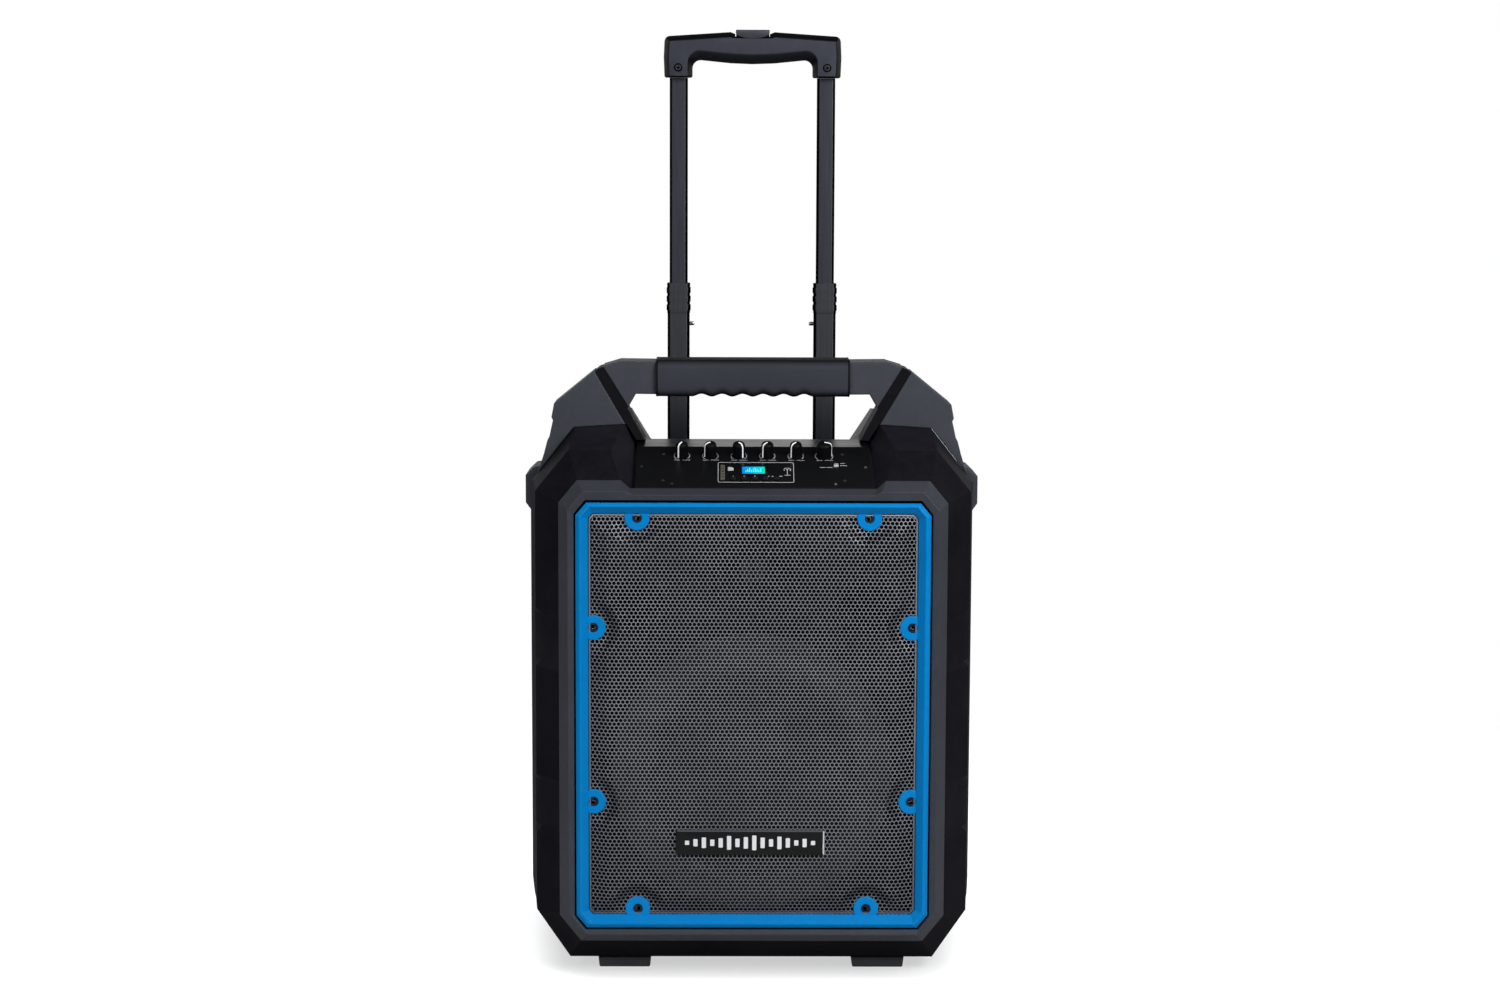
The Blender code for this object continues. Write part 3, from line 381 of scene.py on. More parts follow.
def strip(points, width):
    """Closed outline of an open line with a width."""
    left, right = [], []
    last = len(points) - 1
    for i, point in enumerate(points):
        along = Vector(points[min(i + 1, last)]) - Vector(points[max(i - 1, 0)])
        along.normalize()
        across = Vector((-along.y, along.x)) * (width / 2)
        left.append((point[0] + across.x, point[1] + across.y))
        right.append((point[0] - across.x, point[1] - across.y))
    return right + left[::-1]


# =========================== mesh helpers ====================================
def add_object(name, data):
    made = bpy.data.objects.new(name, data)
    bpy.context.scene.collection.objects.link(made)
    return made


def register(part, body, piece):
    """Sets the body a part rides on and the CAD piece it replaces."""
    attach(part, body)
    if piece:
        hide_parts(piece)


def make_mesh(name, verts, faces, smooth=0, sharpen=False):
    mesh = bpy.data.meshes.new(name)
    mesh.from_pydata([tuple(c * MM for c in v) for v in verts], [], faces)
    edit = bmesh.new()
    edit.from_mesh(mesh)
    bmesh.ops.recalc_face_normals(edit, faces=edit.faces[:])
    if smooth:
        for face in edit.faces:
            face.smooth = True
    if smooth and sharpen:
        for edge in edit.edges:
            if len(edge.link_faces) == 2 and edge.calc_face_angle(0.0) > math.radians(smooth):
                edge.smooth = False
    edit.to_mesh(mesh)
    edit.free()
    return mesh


def add_part(name, verts, faces, material, body="cabinet", piece=None, slot=None, bevel=0.0,
             segments=2, angle=26, smooth=32):
    """One part; smooth is the largest smooth edge angle, 0 for flat faces."""
    part = add_object(name, make_mesh(name, verts, faces, smooth, sharpen=not bevel))
    part.data.materials.append(material)
    if bevel:
        soft = part.modifiers.new("soft_edge", 'BEVEL')
        soft.width = bevel * MM
        soft.segments = segments
        soft.limit_method = 'ANGLE'
        soft.angle_limit = math.radians(angle)
        soft.harden_normals = False
        weight = part.modifiers.new("face_weight", 'WEIGHTED_NORMAL')
        weight.keep_sharp = True
        weight.weight = 60
    register(part, body, piece)
    return part


def loft_faces(count, rings, cyclic=False):
    """Quads between rings of count points; an open loft gets two end caps."""
    faces = []
    for i in range(rings if cyclic else rings - 1):
        a, b = i * count, ((i + 1) % rings) * count
        for k in range(count):
            j = (k + 1) % count
            faces.append((a + k, a + j, b + j, b + k))
    if not cyclic:
        faces.append(tuple(range(count))[::-1])
        faces.append(tuple(range((rings - 1) * count, rings * count)))
    return faces


def loft(name, rings, material, cyclic=False, **options):
    faces = loft_faces(len(rings[0]), len(rings), cyclic)
    return add_part(name, [p for ring in rings for p in ring], faces, material, **options)


def frame(name, stations, material, **options):
    """Closed frame lofted through (outline, y) stations and back to the first."""
    rings = [at_y(outline, y) for outline, y in stations]
    return loft(name, rings, material, cyclic=True, **options)


def prism_rings(outline, stations, axis):
    place = {"y": lambda a, b, along: (a, along, b),
             "z": lambda a, b, along: (a, b, along),
             "x": lambda a, b, along: (along, a, b)}[axis]
    return [[place(a, b, along) for a, b in offset_poly(outline, inset)]
            for along, inset in stations]


def prism(name, outline, stations, material, axis="y", **options):
    """Extrudes an outline along an axis through (place, inset) stations."""
    return loft(name, prism_rings(outline, stations, axis), material, **options)


def lathe(name, profile, centre, steps, material, axis=FRONT, phase=0.0, warp=None, **options):
    """Turns (radius, height) rows about an axis; the profile closes if it misses the axis."""
    normal = Vector(axis).normalized()
    reference = Vector((0, 0, 1)) if abs(normal.z) < 0.9 else Vector((0, 1, 0))
    across = normal.cross(reference).normalized()
    upward = normal.cross(across)
    centre = Vector(centre)
    verts, faces, rows = [], [], []
    for i, (radius, height) in enumerate(profile):
        if radius == 0:
            rows.append([len(verts)])
            verts.append(centre + normal * height)
            continue
        rows.append(list(range(len(verts), len(verts) + steps)))
        for k in range(steps):
            turn = phase + 2 * math.pi * k / steps
            warped = radius * (warp(i, turn) if warp else 1.0)
            spoke = across * math.cos(turn) + upward * math.sin(turn)
            verts.append(centre + normal * height + spoke * warped)
    closed = len(rows[0]) > 1 and len(rows[-1]) > 1
    for i in range(len(rows) if closed else len(rows) - 1):
        a, b = rows[i], rows[(i + 1) % len(rows)]
        for k in range(steps):
            j = (k + 1) % steps
            if len(a) == 1:
                faces.append((a[0], b[j], b[k]))
            elif len(b) == 1:
                faces.append((a[k], a[j], b[0]))
            else:
                faces.append((a[k], a[j], b[j], b[k]))
    return add_part(name, verts, faces, material, **options)


def notches(steps, period, width, depth):
    """Lathe warp that sinks width of every period steps, on profile rows 3 to 5."""
    def warp(row, turn):
        sunk = 3 <= row <= 5 and round(turn / (2 * math.pi) * steps) % period < width
        return 1.0 - (depth if sunk else 0.0)
    return warp


def subtract(part, verts, faces):
    """Cuts a solid out of a part with one exact boolean, applied at once."""
    tool = add_object("tool", make_mesh("tool", verts, faces))
    cut = part.modifiers.new("cut", 'BOOLEAN')
    cut.operation = 'DIFFERENCE'
    cut.solver = 'EXACT'
    cut.object = tool
    if len(part.modifiers) > 1:      # the cut has to come before the edge rounding
        bpy.context.view_layer.objects.active = part
        part.modifiers.move(len(part.modifiers) - 1, 0)
    with bpy.context.temp_override(object=part, active_object=part, selected_objects=[part]):
        bpy.ops.object.modifier_apply(modifier="cut")
    bpy.data.objects.remove(tool, do_unlink=True)


def cut_prism(part, outline, start, end, axis="y"):
    rings = prism_rings(outline, [(start, 0), (end, 0)], axis)
    subtract(part, rings[0] + rings[1], loft_faces(len(outline), 2))


# =========================== main sizes ======================================
HALF_W, Z_BOTTOM, Z_TOP = 216.0, 10.0, 512.2
RISE = 3.0               # how far the top climbs from the corners to the bay
WALL, LIP = 5.0, 1.6     # shell thickness, step at the joint of the two shells
LEDGE = 478.0            # floor of the bay in the top
SEAT = 141.3             # distance in front of y = 0 at which the front parts sit
WOOFER_Z, WOOFER_R = 199.3, 130.0
HORN_Z, HORN_R = 383.4, 44.0
PORT_X, PORT_Z, PORT_R = 105.5, 356.5, 27.0
TUBE_X, TUBE_Y = 73.2, 115.0
WHEEL_X, WHEEL_Y, WHEEL_R = 199.0, 117.0, 35.0
LUG_R = 11.6
LUGS = [(side * x, z) for x, z in ((107.0, 438.2), (147.5, 336.2), (147.5, 172.4), (106.5, 70.5))
        for side in (-1, 1)]


# =========================== cabinet, front shell ============================
def ring(y, half_w, bottom, top, low_cut, top_cut, bay, rise=0.0, well=None, waist=0.0):
    """Cabinet cross-section at y.

    low_cut, top_cut: (x, z) size of the corner cuts
    bay: (edge x, floor x, floor z) of the bay in the top
    well: (x, z) of a square step that takes the place of the low cut
    waist: how far two stretches of the side are pulled in
    """
    if well:
        low = [(well[0], bottom), well, (half_w, well[1])]
    else:
        low = [(half_w - low_cut[0], bottom), (half_w - low_cut[0] / 2, bottom + low_cut[1] / 2),
               (half_w, bottom + low_cut[1])]
    stretches = []
    for z0, z1 in ((140.0, 184.0), (299.0, 343.0)):
        stretches += [(half_w, z0 - 6), (half_w - waist, z0), (half_w - waist, z1),
                      (half_w, z1 + 6)]
    upper = [(half_w, top - top_cut[1]), (half_w - top_cut[0], top), (bay[0], top + rise), bay[1:]]
    return at_y(mirrored(low + stretches + upper), y)


BAY = (121.0, 98.3, LEDGE)
BAY_LIP = (122.0, 99.5, LEDGE - LIP)
BAY_IN = (127.0, 104.0, LEDGE - 5.5)
# (half width, bottom, top) of the full section, of the joint lip and of the inside
FULL = (HALF_W, Z_BOTTOM, Z_TOP)
LIPPED = (HALF_W - LIP, Z_BOTTOM + LIP, Z_TOP - LIP)
INSIDE = (HALF_W - WALL, Z_BOTTOM + WALL, Z_TOP - WALL)
FRONT_OUTER = [
    ring(-141.0, 178.8, 39.2, 472.2, (19.5, 24.5), (17.0, 20.8), (122.2, 113.0, 459.2)),
    ring(-108.0, 203.3, 13.2, 497.0, (31.5, 46.0), (31.5, 38.4), (132.6, 112.4, 474.2), waist=5.0),
    ring(-96.0, 204.4, Z_BOTTOM, 500.4, (32.6, 49.4), (32.9, 41.0), (130.0, 112.2, 479.6), 0.6),
    ring(-69.5, 206.8, Z_BOTTOM, 507.2, (35.0, 49.8), (36.5, 46.3), (125.5, 111.6, 491.6), 1.9),
    ring(-50.0, 209.2, Z_BOTTOM, Z_TOP, (37.4, 50.0), (39.5, 50.1), (121.0, 111.6, 493.0), RISE),
    ring(-25.0, 211.8, Z_BOTTOM, Z_TOP, (40.0, 50.0), (42.1, 53.5), (121.0, 111.6, 494.7), RISE),
    ring(-24.8, 211.8, Z_BOTTOM, Z_TOP, (40.0, 50.0), (42.1, 53.5), BAY, RISE),
    ring(17.6, 215.8, Z_BOTTOM, Z_TOP, (44.0, 50.0), (46.1, 58.6), BAY, RISE),
    ring(20.0, *LIPPED, (43.6, 49.4), (45.7, 58.3), BAY_LIP, RISE),
]
FRONT_INNER = [
    ring(20.0, *INSIDE, (43.2, 48.0), (44.0, 56.4), BAY_IN, RISE),
    ring(-30.2, 206.3, 15.0, 507.2, (39.0, 48.0), (39.4, 50.5), BAY_IN, RISE),
    ring(-30.4, 206.3, 15.0, 507.2, (39.0, 48.0), (39.4, 50.5), (127.0, 117.5, 489.4), RISE),
    ring(-50.0, 204.2, 15.0, 506.8, (36.7, 48.0), (37.3, 47.4), (127.5, 117.5, 487.8), RISE),
    ring(-69.5, 201.8, 15.0, 501.6, (34.2, 48.0), (34.2, 43.5), (132.0, 117.8, 485.8), 1.9),
    ring(-95.0, 199.4, 15.5, 493.6, (31.8, 47.6), (31.0, 38.8), (136.5, 118.4, 473.6), 0.6),
    ring(-107.0, 195.0, 20.0, 489.2, (28.7, 43.0), (28.0, 34.0), (139.0, 118.8, 468.0)),
    ring(-133.0, 175.5, 41.0, 470.0, (19.5, 24.0), (16.5, 20.0), (131.0, 120.0, 455.8)),
]
front_shell = loft("cabinet_front", FRONT_OUTER + FRONT_INNER, BLACK, bevel=0.9, angle=14,
                   piece="cabinet_front_shell")
for opening in (circle(0, WOOFER_Z, 113.0, 72), circle(0, HORN_Z, 38.5, 32),
                circle(-PORT_X, PORT_Z, PORT_R + 0.4, 32),
                circle(PORT_X, PORT_Z, PORT_R + 0.4, 32)):
    cut_prism(front_shell, opening, -150, -125)

# =========================== cabinet, rear shell =============================
WELL, WELL_IN = (183.5, 76.0), (178.5, 81.0)     # (x, z) of the wheel wells
REAR_CUT = (46.3, 58.9)
REAR_OUTER = [
    ring(20.3, *LIPPED, (43.6, 49.4), (45.7, 58.3), BAY_LIP, RISE),
    ring(22.7, *FULL, (44.2, 50.0), REAR_CUT, BAY, RISE),
    ring(76.0, *FULL, (44.2, 50.0), REAR_CUT, BAY, RISE),
    ring(76.2, *FULL, None, REAR_CUT, BAY, RISE, well=WELL),
    ring(136.0, *FULL, None, REAR_CUT, BAY, RISE, well=WELL),
    ring(152.0, 203.0, 22.0, 501.0, None, (40.0, 51.0), BAY, RISE, well=WELL),
]
REAR_INNER = [
    ring(147.0, 197.0, 28.0, 495.5, None, (37.0, 48.0), BAY_IN, RISE, well=WELL_IN),
    ring(133.0, *INSIDE, None, (44.0, 56.4), BAY_IN, RISE, well=WELL_IN),
    ring(71.2, *INSIDE, None, (44.0, 56.4), BAY_IN, RISE, well=WELL_IN),
    ring(71.0, *INSIDE, (43.2, 48.0), (44.0, 56.4), BAY_IN, RISE),
    ring(20.3, *INSIDE, (43.2, 48.0), (44.0, 56.4), BAY_IN, RISE),
]


def open_box(name, outer, inner, material, **options):
    """Outer skin capped at its last ring, inner skin capped at its first."""
    rings = outer + inner
    count, first = len(outer[0]), len(outer)
    faces = loft_faces(count, len(rings), cyclic=True)
    del faces[(first - 1) * count:first * count]
    faces.append(tuple(range((first - 1) * count, first * count)))
    faces.append(tuple(range(first * count, (first + 1) * count)))
    return add_part(name, [p for points in rings for p in points], faces, material, **options)


rear_shell = open_box("cabinet_rear", REAR_OUTER, REAR_INNER, CHARCOAL, bevel=1.2, segments=3,
                      angle=14, piece="cabinet_rear_shell")
# faces that look inwards, below the bay floor, get the near-black: painted shade inside the shell
rear_shell.data.materials.append(RECESS_SHADE)
core = Vector((0.0, 0.080, 0.250))
for face in rear_shell.data.polygons:
    if face.center.z < 0.4735 and face.normal.dot(face.center - core) < 0:
        face.material_index = 1
# holes for the outer trolley tubes, each with a slot on its inner side
for side, _ in SIDES:
    x = side * TUBE_X
    cut_prism(rear_shell, fillet(rect(x - 13.4, x + 13.4, TUBE_Y - 10.9, TUBE_Y + 10.9), 2.0, 3),
              465, 485, "z")
    slot_x = x - side * 13.0
    slot_ends = sorted((slot_x, slot_x - side * 5.4))
    cut_prism(rear_shell, rect(*slot_ends, TUBE_Y - 2.8, TUBE_Y + 2.8), 465, 485, "z")
cut_prism(rear_shell, rect(-70, 70, 125, 225), 140, 160)
for side, _ in SIDES:                            # axle holes
    cut_prism(rear_shell, circle(WHEEL_Y, WHEEL_R, 5.4, 24), *sorted((side * 170, side * 190)),
              "x")

# blocks on the upper corners, (x, z)
BUMPER = [(210.8, 424.2), (216.2, 424.2), (221.4, 431.4), (221.4, 458.4), (213.5, 466.0),
          (203.0, 467.6), (211.0, 456.5)]
for side, tag in SIDES:
    prism("side_bumper_" + tag, on_side(BUMPER, side),
          [(24.0, 1.6), (25.6, 0.0), (82.4, 0.0), (84.0, 1.6)], CHARCOAL, bevel=0.7,
          slot="cabinet_rear_shell")


# =========================== front bezel and trim ============================
def bezel_outline(half_w, bottom, top, low_cut, top_cut, notch):
    return mirrored([(half_w - low_cut[0], bottom), (half_w, bottom + low_cut[1]),
                     (half_w, top - top_cut[1]), (half_w - top_cut[0], top), (notch[0], top),
                     notch[1:]])


def octagon(half_w, bottom, top, cut_x, cut_z):
    return mirrored([(half_w - cut_x, bottom), (half_w, bottom + cut_z), (half_w, top - cut_z),
                     (half_w - cut_x, top)])


bezel_outer = bezel_outline(179.6, 38.3, 472.6, (19.8, 24.9), (17.1, 20.8), (122.0, 113.6, 465.2))
bezel_crest = bezel_outline(170.8, 47.0, 463.6, (17.4, 21.5), (14.6, 17.6), (117.6, 111.4, 460.4))
bezel_inner = bezel_outline(165.1, 51.8, 455.2, (10.2, 12.6), (10.4, 12.8), (117.0, 111.0, 455.2))
frame("front_bezel_fine",
      [(bezel_outer, -SEAT), (bezel_outer, -143.6), (bezel_crest, -155.0), (bezel_inner, -153.4),
       (bezel_inner, -SEAT)],
      BEZEL, piece="front_bezel", bevel=0.7, segments=3, angle=8)

# dark sheet at the bottom of the gap between the bezel and the blue trim, as painted shade in the
# gap
shadow_gap_outer = octagon(165.0, 51.9, 455.1, 10.2, 12.5)
shadow_gap_inner = octagon(163.7, 53.2, 452.9, 9.9, 12.2)
frame("trim_shadow_gap", [(shadow_gap_outer, -SEAT), (shadow_gap_outer, -150.6), (shadow_gap_inner, -150.6),
                      (shadow_gap_inner, -SEAT)], RECESS_SHADE, slot="front_bezel", smooth=0)

trim_outer = octagon(163.6, 53.3, 452.8, 9.9, 11.6)
trim_inner = octagon(152.2, 65.0, 442.6, 4.0, 4.6)
trim = frame("trim_frame_fine",
             [(trim_outer, -SEAT), (trim_outer, -151.8),
              (octagon(159.8, 57.1, 450.2, 8.5, 10.2), -155.0),
              (octagon(158.6, 58.3, 449.5, 8.0, 9.8), -155.0),
              (trim_inner, -149.0), (trim_inner, -SEAT)],
             BLUE, piece="trim_frame", bevel=0.4, segments=3, angle=12)
trim.data.materials.append(BLUE_LIT_CHAMFER)
for k in range(8, 16):                   # the outer chamfer takes the lighter blue, a painted highlight
    trim.data.polygons[k].material_index = 1

# round lugs with a deep screw seat; (radius, height) rows
LUG_PROFILE = [(3.0, 145.6), (LUG_R, 145.6), (LUG_R, 147.8), (LUG_R - 0.3, 148.4),
               (LUG_R - 0.9, 148.7), (5.0, 148.7), (4.6, 148.4), (4.6, 146.5), (3.0, 146.5)]
SCREW_PROFILE = [(0, 141.7), (2.2, 141.7), (2.2, 144.0), (2.9, 144.4), (2.9, 146.7), (4.2, 146.7),
                 (4.2, 147.1), (3.8, 147.4), (2.8, 147.5), (2.6, 147.3), (2.5, 144.6), (0, 144.6)]
SOCKET_PROFILE = [(0, 144.5), (2.45, 144.5), (2.45, 146.9), (2.3, 146.9), (2.1, 145.0),
                  (0, 144.9)]
for i, (x, z) in enumerate(LUGS, start=1):
    screw = f"grille_screw_{i}"
    lathe(f"trim_lug_{i}", LUG_PROFILE, (x, 0, z), 40, BLUE, slot="trim_frame", smooth=25)
    lathe(f"screw_fine_{i}", SCREW_PROFILE, (x, 0, z), 36, SCREW, piece=screw, smooth=30)
    # dark socket in the screw: painted shade of the recess
    lathe(f"screw_socket_{i}", SOCKET_PROFILE, (x, 0, z), 6, RECESS_SHADE, slot=screw, smooth=0)

# =========================== perforated grille ===============================
GRILLE_HALF_W, GRILLE_BOTTOM, GRILLE_TOP = 151.7, 65.5, 442.1
CROWN_Y, EDGE_Y = -154.5, -147.4         # front surface at the middle and at the rim
DIMPLE_Y, DIMPLE_WALL_Y = -145.2, -147.7
HOLE_PITCH, HOLE_R, SHEET_T = 4.0, 1.78, 1.2


def ease(t):
    t = np.clip(t, 0, 1)
    return t * t * (3 - 2 * t)


def sheet_y(x, z):
    """Front surface of the grille: a crowned pan with a dimple round every lug."""
    near_side = np.clip(1 - (GRILLE_HALF_W - np.abs(x)) / 22.0, 0, 1)
    near_end = np.clip(1 - np.minimum(z - GRILLE_BOTTOM, GRILLE_TOP - z) / 22.0, 0, 1)
    inward = (1 - np.clip((near_side ** 5 + near_end ** 5) ** 0.2, 0, 1)) * 1.2
    height = np.where(inward < 0.8, inward, 1 - (1.2 - inward) ** 2 / 0.8)
    y = EDGE_Y + (CROWN_Y - EDGE_Y) * height
    for lug_x, lug_z in LUGS:
        away = np.hypot(x - lug_x, z - lug_z)
        seat = DIMPLE_Y + (DIMPLE_WALL_Y - DIMPLE_Y) * ease((away - 10.2) / 1.3)
        y = seat + (y - seat) * ease((away - LUG_R - 0.5) / 15.0)
    return y


def hole_centres():
    """Staggered rows of holes, left out at the four corners."""
    reach = int(GRILLE_HALF_W / HOLE_PITCH) + 2
    centres = []
    row, z = 0, GRILLE_BOTTOM + 1.2
    while z < GRILLE_TOP - 1.0:
        near_end = z < GRILLE_BOTTOM + 4.0 or z > GRILLE_TOP - 4.0
        for i in range(-reach, reach + 1):
            x = i * HOLE_PITCH + row % 2 * HOLE_PITCH / 2
            in_corner = near_end and abs(x) > GRILLE_HALF_W - 4.4
            if abs(x) < GRILLE_HALF_W - 0.9 and not in_corner:
                centres.append((x, z))
        z += HOLE_PITCH * math.sqrt(3) / 2
        row += 1
    return np.array(centres)


def sheet_layer(points, back):
    return np.stack([points[:, 0], sheet_y(points[:, 0], points[:, 1]) + back, points[:, 1]], 1)


def build_grille():
    """Each hole is a 12-gon in a hexagonal cell; neighbouring cells share their corners."""
    centres = hole_centres()
    cells = len(centres)
    angles = np.radians(30.0 * np.arange(12))
    odd = np.arange(12) % 2 == 1
    reach = np.where(odd, HOLE_PITCH / math.sqrt(3), HOLE_PITCH / 2)

    def around(radius):
        spokes = np.stack([radius * np.cos(angles), radius * np.sin(angles)], -1)
        return (centres[:, None, :] + spokes[None]).reshape(-1, 2)

    corners, holes = around(reach), around(HOLE_R)
    key = np.round(corners * 50).astype(np.int64)
    _, first, shared = np.unique(key[:, 0] * 1000003 + key[:, 1], return_index=True,
                                 return_inverse=True)
    corners = corners[first].copy()
    corners[:, 0] = np.clip(corners[:, 0], -GRILLE_HALF_W + 0.1, GRILLE_HALF_W - 0.1)
    corners[:, 1] = np.clip(corners[:, 1], GRILLE_BOTTOM + 0.1, GRILLE_TOP - 0.1)
    n_corners, n_holes = len(corners), len(holes)
    verts = np.concatenate([sheet_layer(corners, 0.0), sheet_layer(corners, SHEET_T),
                            sheet_layer(holes, 0.0), sheet_layer(holes, SHEET_T)])

    following = np.roll(np.arange(12), -1)
    out0 = shared.reshape(cells, 12)
    out1 = out0[:, following]
    hole0 = np.arange(cells * 12).reshape(cells, 12) + 2 * n_corners
    hole1 = hole0[:, following]

    def quads(*columns):
        return np.stack(columns, -1).reshape(-1, 4)

    edges = np.stack([out0, out1], -1).reshape(-1, 2)
    code = edges.min(1) * (n_corners + 1) + edges.max(1)
    _, index, uses = np.unique(code, return_index=True, return_counts=True)
    rim0, rim1 = edges[index[uses == 1]].T
    faces = np.concatenate([
        quads(out0, out1, hole1, hole0),                                          # front
        quads(hole0, hole1, hole1 + n_holes, hole0 + n_holes),                    # holes
        quads(out1 + n_corners, out0 + n_corners, hole0 + n_holes, hole1 + n_holes),  # back
        quads(rim1, rim0, rim0 + n_corners, rim1 + n_corners)])                   # rim

    mesh = bpy.data.meshes.new("speaker_grille_fine")
    mesh.vertices.add(len(verts))
    mesh.vertices.foreach_set("co", (verts * MM).astype(np.float32).ravel())
    mesh.loops.add(len(faces) * 4)
    mesh.loops.foreach_set("vertex_index", faces.astype(np.int32).ravel())
    mesh.polygons.add(len(faces))
    mesh.polygons.foreach_set("loop_start", (np.arange(len(faces)) * 4).astype(np.int32))
    mesh.polygons.foreach_set("use_smooth", np.ones(len(faces), bool))
    mesh.update(calc_edges=True)
    # the front and back rims of the holes stay sharp
    ends = np.zeros(len(mesh.edges) * 2, np.int32)
    mesh.edges.foreach_get("vertices", ends)
    ends = ends.reshape(-1, 2)
    layer = np.repeat([0, 1, 2, 3], [n_corners, n_corners, n_holes, n_holes])
    sharp = (layer[ends[:, 0]] == layer[ends[:, 1]]) & (layer[ends[:, 0]] >= 2)
    mesh.attributes.new("sharp_edge", 'BOOLEAN', 'EDGE').data.foreach_set("value", sharp)
    mesh.validate()
    mesh.materials.append(SHEET)
    register(add_object("speaker_grille_fine", mesh), "cabinet", "speaker_grille")


build_grille()
# plain rim of the grille, seated behind the trim
rim_outer = octagon(151.9, 65.3, 442.3, 3.9, 4.5)
rim_inner = octagon(150.2, 67.0, 440.6, 3.3, 3.9)
frame("grille_rim", [(rim_outer, -141.6), (rim_outer, -147.0),
                     (octagon(151.3, 65.9, 441.7, 3.7, 4.3), -147.6),
                     (rim_inner, -147.9), (rim_inner, -141.6)],
      SHEET, slot="speaker_grille", smooth=30)

# badge: a raised plate with upright bars
BADGE = (-71.0, 67.0, 123.7, 147.4)      # x from, x to, z from, z to
BADGE_X, BADGE_Z = (BADGE[0] + BADGE[1]) / 2, (BADGE[2] + BADGE[3]) / 2
BAR_PITCH, BAR_HALF_W = 7.8, 2.0
BAR_HEIGHTS = [4, 7, 10, 6, 9, 13, 8, 11, 14, 10, 7, 12, 9, 5, 8, 4]
badge = prism("badge_plate_fine", fillet(rect(*BADGE), 1.2, 4),
              [(-157.0, 1.5), (-156.2, 0.0), (-154.8, 0.0)], GLOSS, piece="badge_plate", smooth=15)
badge.data.materials.append(CHARCOAL)
badge.data.materials.append(WHITE)
for face in badge.data.polygons:         # painted highlights on the upper and right-hand chamfers, in charcoal and white
    if face.center.y < -0.1563:
        if face.normal.z > 0.3:
            face.material_index = 1
        elif face.normal.x > 0.35:
            face.material_index = 2
for i, height in enumerate(BAR_HEIGHTS):
    x = BADGE_X + (i - 7.5) * BAR_PITCH
    bar = rect(x - BAR_HALF_W, x + BAR_HALF_W, BADGE_Z - height / 2, BADGE_Z + height / 2)
    prism(f"badge_bar_{i:02d}", fillet(bar, 0.7, 2),
          [(-157.4, 0.15), (-157.25, 0.0), (-156.8, 0.0)], PAINT, slot="badge_plate", smooth=40)

# =========================== drivers =========================================
# profiles are (radius, distance in front of y = 0)
WOOFER = (0, 0, WOOFER_Z)
BOLT_CIRCLE_R = 123.9
lathe("woofer_basket_fine",
      [(WOOFER_R, SEAT), (WOOFER_R, 144.3), (WOOFER_R - 0.3, 145.0), (WOOFER_R - 1, 145.3),
       (119.0, 145.3), (118.4, 145.0), (108.0, 145.0), (107.0, 141.5), (104.0, 138.0),
       (66.0, 92.0), (64.0, 81.0), (28.6, 79.5), (28.6, 75.4), (66.0, 76.4), (69.5, 90.0),
       (107.5, 134.5), (112.0, SEAT)],
      WOOFER, 96, BASKET, piece="woofer_basket")
lathe("woofer_surround_fine",
      [(117.6, 145.6), (117.6, 147.0), (113.0, 147.4), (110.6, 149.2), (107.6, 151.0),
       (104.0, 151.6), (100.6, 150.8), (98.0, 149.0), (96.6, 147.0), (96.6, 145.6),
       (100.5, 147.6), (104.0, 149.4), (107.5, 148.2), (109.5, 145.6)],
      WOOFER, 96, SURROUND, piece="woofer_surround")
lathe("woofer_cone_fine",
      [(0, 124.5), (6.0, 124.3), (12.0, 123.6), (18.0, 122.4), (24.0, 120.6), (29.0, 118.4),
       (33.0, 115.6), (34.5, 114.6), (38.0, 115.0), (58.0, 125.4), (59.0, 126.6), (60.0, 126.6),
       (78.0, 136.3), (79.0, 137.5), (80.0, 137.4), (95.8, 146.6), (95.8, 144.8), (38.0, 112.6),
       (26.6, 110.6), (26.6, 76.0), (24.6, 76.0), (24.6, 111.5), (22.0, 118.4), (0, 122.4)],
      WOOFER, 96, CONE, body="cone", piece="woofer_cone")
lathe("woofer_magnet_fine",
      [(0, 75.0), (22.8, 75.0), (22.8, 56.0), (28.4, 56.0), (28.4, 75.0), (60.0, 75.0),
       (60.0, 68.0), (64.0, 67.0), (64.0, 46.0), (60.0, 45.0), (60.0, 39.0), (58.5, 38.0),
       (0, 38.0)],
      WOOFER, 64, FERRITE, piece="woofer_magnet")
for k in range(8):
    turn = math.pi / 8 + k * math.pi / 4
    place = (BOLT_CIRCLE_R * math.cos(turn), 0, WOOFER_Z + BOLT_CIRCLE_R * math.sin(turn))
    lathe(f"woofer_bolt_{k}", [(0, 145.2), (3.6, 145.2), (3.6, 146.6), (2.9, 147.3), (1.7, 147.4),
                               (1.6, 146.6), (0, 146.6)],
          place, 20, DARK_STEEL, slot="woofer_basket")
lathe("horn_flare_fine",
      [(HORN_R, SEAT), (HORN_R, 144.6), (43.0, 145.3), (41.6, 145.3), (36.0, 138.5),
       (31.0, 129.0), (24.0, 117.0), (17.0, 105.0), (12.5, 97.0), (17.0, 96.0), (26.0, 113.0),
       (36.5, 131.0), (38.0, SEAT)],
      (0, 0, HORN_Z), 8, HORN, phase=math.pi / 8, piece="horn_flare", smooth=0, bevel=0.6)
for k, half_h in enumerate((24.0, 30.0, 24.0)):      # fins across the horn mouth
    x = (k - 1) * 15.0
    prism(f"horn_fin_{k}", fillet(rect(x - 1.2, x + 1.2, HORN_Z - half_h, HORN_Z + half_h), 1.0, 3),
          [(-142.5, 0.7), (-142.0, 0.0), (-126.0, 0.0)], HORN, slot="horn_flare", smooth=40)
